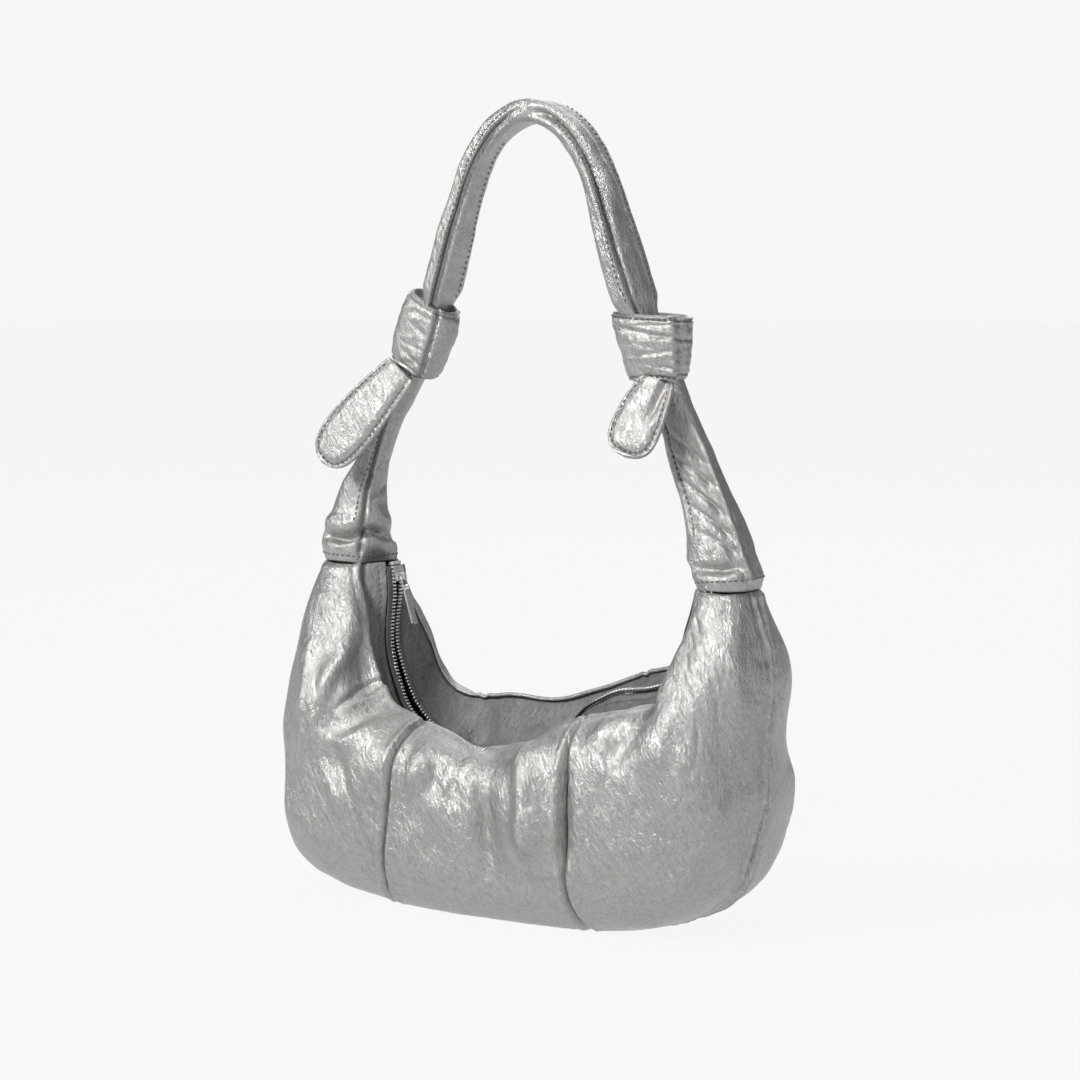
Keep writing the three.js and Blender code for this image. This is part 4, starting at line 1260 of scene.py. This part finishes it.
def tail_stitch_line(length, width):
    """A line inset from the outline, down one side and up the other, in the tail's own plane."""
    outline = []
    for sign in (1, -1):
        along = np.linspace(0.03, 0.999, 80)[::sign]
        half = sign * read_table(TAIL_OUTLINE, along)[0] * width / 2
        outline.append(np.stack([along * length, half, np.zeros(len(along))], -1))
    outline = np.vstack(outline)
    direction = unit(np.gradient(outline, axis=0))
    inward = np.stack([-direction[:, 1], direction[:, 0], np.zeros(len(outline))], -1)
    to_middle = np.array([0.45 * length, 0, 0]) - outline
    inward = inward * np.sign(np.sum(inward * to_middle, -1, keepdims=True) + 1e-9)
    return resample(outline + inward * TAIL_STITCH_INSET, 220)


def make_tail(name, root, tip, width, crease_seed, fold=0.0):
    """A free end, with its root in the knot."""
    root, along = np.array(root, float), np.array(tip, float) - np.array(root, float)
    u = unit(np.array([along[2], 0, -along[0]]))
    v = unit(np.cross(along, u))
    v = v * np.sign(v @ np.array([0.3, -1, 0]))
    rings = tail_rings(root, along, u, v, width, crease_seed, fold)
    tail = make_piece(name + "_leather", *tube_mesh(rings), LEATHER, "leather")
    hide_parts(name)
    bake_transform(tail)
    length = np.linalg.norm(along)
    flat = tail_stitch_line(length, width)
    part = flat[:, :1] / length
    line = root + along * part + v * TAIL_BOW * np.sin(np.pi * part) + u * flat[:, 1:2]
    parts = []
    for face in (1, -1):
        parts += stitch_parts(line + v * face * 2.15, np.broadcast_to(v * face, line.shape), 0.0)
    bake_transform(make_stitches(name, parts))


# ---------------------------------------------------------------- camera, floor and lights


SENSOR_WIDTH, LENS = 36, 108
# Where the camera points, in millimetres across and up from its target, so the bag sits as in the photo.
AIM_SHIFT = (2.56, -38.3)


def add_camera():
    data = bpy.data.cameras.new("camera")
    data.sensor_width = SENSOR_WIDTH
    data.lens = LENS
    data.clip_end = 50
    camera = add_object("camera", data)
    target = np.array([0, 0, AIM_HEIGHT])
    place = target + TOWARDS_CAMERA * CAMERA_DISTANCE
    up = np.cross(TOWARDS_CAMERA, ACROSS_VIEW)
    aim = target + AIM_SHIFT[0] * ACROSS_VIEW + AIM_SHIFT[1] * up
    back = unit(place - aim)
    right = unit(np.cross(np.array([0, 0, 1.0]), back))
    top = np.cross(back, right)
    matrix = np.eye(4)
    matrix[:3, 0], matrix[:3, 1], matrix[:3, 2], matrix[:3, 3] = right, top, back, place * MM
    camera.matrix_world = Matrix(matrix.tolist())
    bpy.context.scene.camera = camera


# Studio sizes in metres. The backdrop is a dome: radius and height of each ring.
FLOOR_RADIUS, STAGE_SIDES = 7.0, 96
DOME_ROWS = [(6.9, -0.01), (6.9, 3.0), (6.2, 6.0), (4.0, 8.5), (0.5, 9.5)]
FLOOR_GLOW, DOME_GLOW = 0.905, 0.925


def stage_ring(radius, height):
    turns = [2 * math.pi * k / STAGE_SIDES for k in range(STAGE_SIDES)]
    return [(radius * math.cos(turn), radius * math.sin(turn), height) for turn in turns]


def add_stage(name, points, faces, material):
    mesh = bpy.data.meshes.new(name)
    mesh.from_pydata(points, [], faces)
    mesh.materials.append(material)
    stage = add_object(name, mesh)
    return stage


def add_floor():
    n = Nodes("studio_floor")
    n.plain(Base_Color=(0.03, 0.03, 0.03, 1), Roughness=0.9, Specular_IOR_Level=0.0)
    n.plain(Emission_Color=(1, 1, 1, 1), Emission_Strength=FLOOR_GLOW)
    add_stage("studio_floor", stage_ring(FLOOR_RADIUS, 0), [tuple(range(STAGE_SIDES))], n.material)


def add_backdrop():
    """Lights nothing and shows only to the camera."""
    material = bpy.data.materials.new("studio_backdrop")
    material.use_nodes = True
    tree = material.node_tree
    tree.nodes.clear()
    glow = tree.nodes.new("ShaderNodeEmission")
    glow.inputs["Color"].default_value = (DOME_GLOW, DOME_GLOW, DOME_GLOW, 1)
    tree.links.new(glow.outputs[0], tree.nodes.new("ShaderNodeOutputMaterial").inputs[0])
    points = sum([stage_ring(*row) for row in DOME_ROWS], [])
    faces = grid_faces(len(DOME_ROWS), STAGE_SIDES, wrap=True)
    backdrop = add_stage("studio_backdrop", points, faces, material)
    backdrop.visible_diffuse = False
    backdrop.visible_glossy = False
    backdrop.visible_transmission = False
    backdrop.visible_shadow = False


# Lights: name, place and aim in metres, size, power in watts.
LIGHTS = [
    ("key", (-0.7, -1.7, 1.5), (0, 0, 0.15), (0.7, 0.7), 56),
    ("fill", (1.9, -1.0, 0.9), (0, 0, 0.15), (1.2, 1.4), 11),
    ("top", (0.1, 0.3, 1.9), (0, 0, 0.2), (1.2, 1.2), 14),
    ("back", (-0.8, 1.8, 1.2), (0, 0, 0.2), (1.4, 1.0), 14),
]
WORLD_GLOW = 0.155


def add_light(name, place, aim, size, power):
    data = bpy.data.lights.new(name, "AREA")
    data.shape = "RECTANGLE"
    data.size, data.size_y = size
    data.energy = power
    light = add_object(name, data)
    light.location = place
    light.rotation_euler = (Vector(place) - Vector(aim)).to_track_quat("Z", "Y").to_euler()


def add_lighting():
    world = bpy.data.worlds.new("studio")
    bpy.context.scene.world = world
    world.use_nodes = True
    background = world.node_tree.nodes["Background"]
    background.inputs["Color"].default_value = (1, 1, 1, 1)
    background.inputs["Strength"].default_value = WORLD_GLOW
    for light in LIGHTS:
        add_light(*light)
    settings = bpy.context.scene.view_settings
    settings.view_transform = "Standard"
    settings.look = "None"


# ---------------------------------------------------------------- build

add_camera()
add_floor()
add_backdrop()
add_lighting()
make_panels()
make_linings()
for lip_face, lip_side in (("front", FRONT), ("back", BACK)):
    make_teeth(lip_face, lip_side)
    make_tape(lip_face, lip_side)
    make_placket(lip_face, lip_side)
soften(["zip_slider", "slider_bridge", "pull_tab", "zip_bottom_stop", "front_top_stop", "back_top_stop"])
soften(["pull_link"], 0.1)
left_nodes, right_nodes = ["left_strap_root", "left_riser"], ["right_strap_root", "right_riser"]
make_sleeve("left_sleeve", LEFT, LEFT_SLEEVE, left_sleeve_relief, -0.14, 208, 262, left_nodes)
make_sleeve("right_sleeve", RIGHT, RIGHT_SLEEVE, right_sleeve_relief, -0.74, 216, 292, right_nodes)
make_knot("left_knot", LEFT, LEFT_KNOT, [])
make_knot("right_knot", RIGHT, RIGHT_KNOT, [0.15, 0.86])
make_strap()
make_tail("left_tail", (-81.5, -13.2, 299.5), (-124, -31, 246), 31, 0.4)
make_tail("right_tail", (87, -13.6, 299.5), (77, -31, 259), 31, 2.0, fold=1.0)
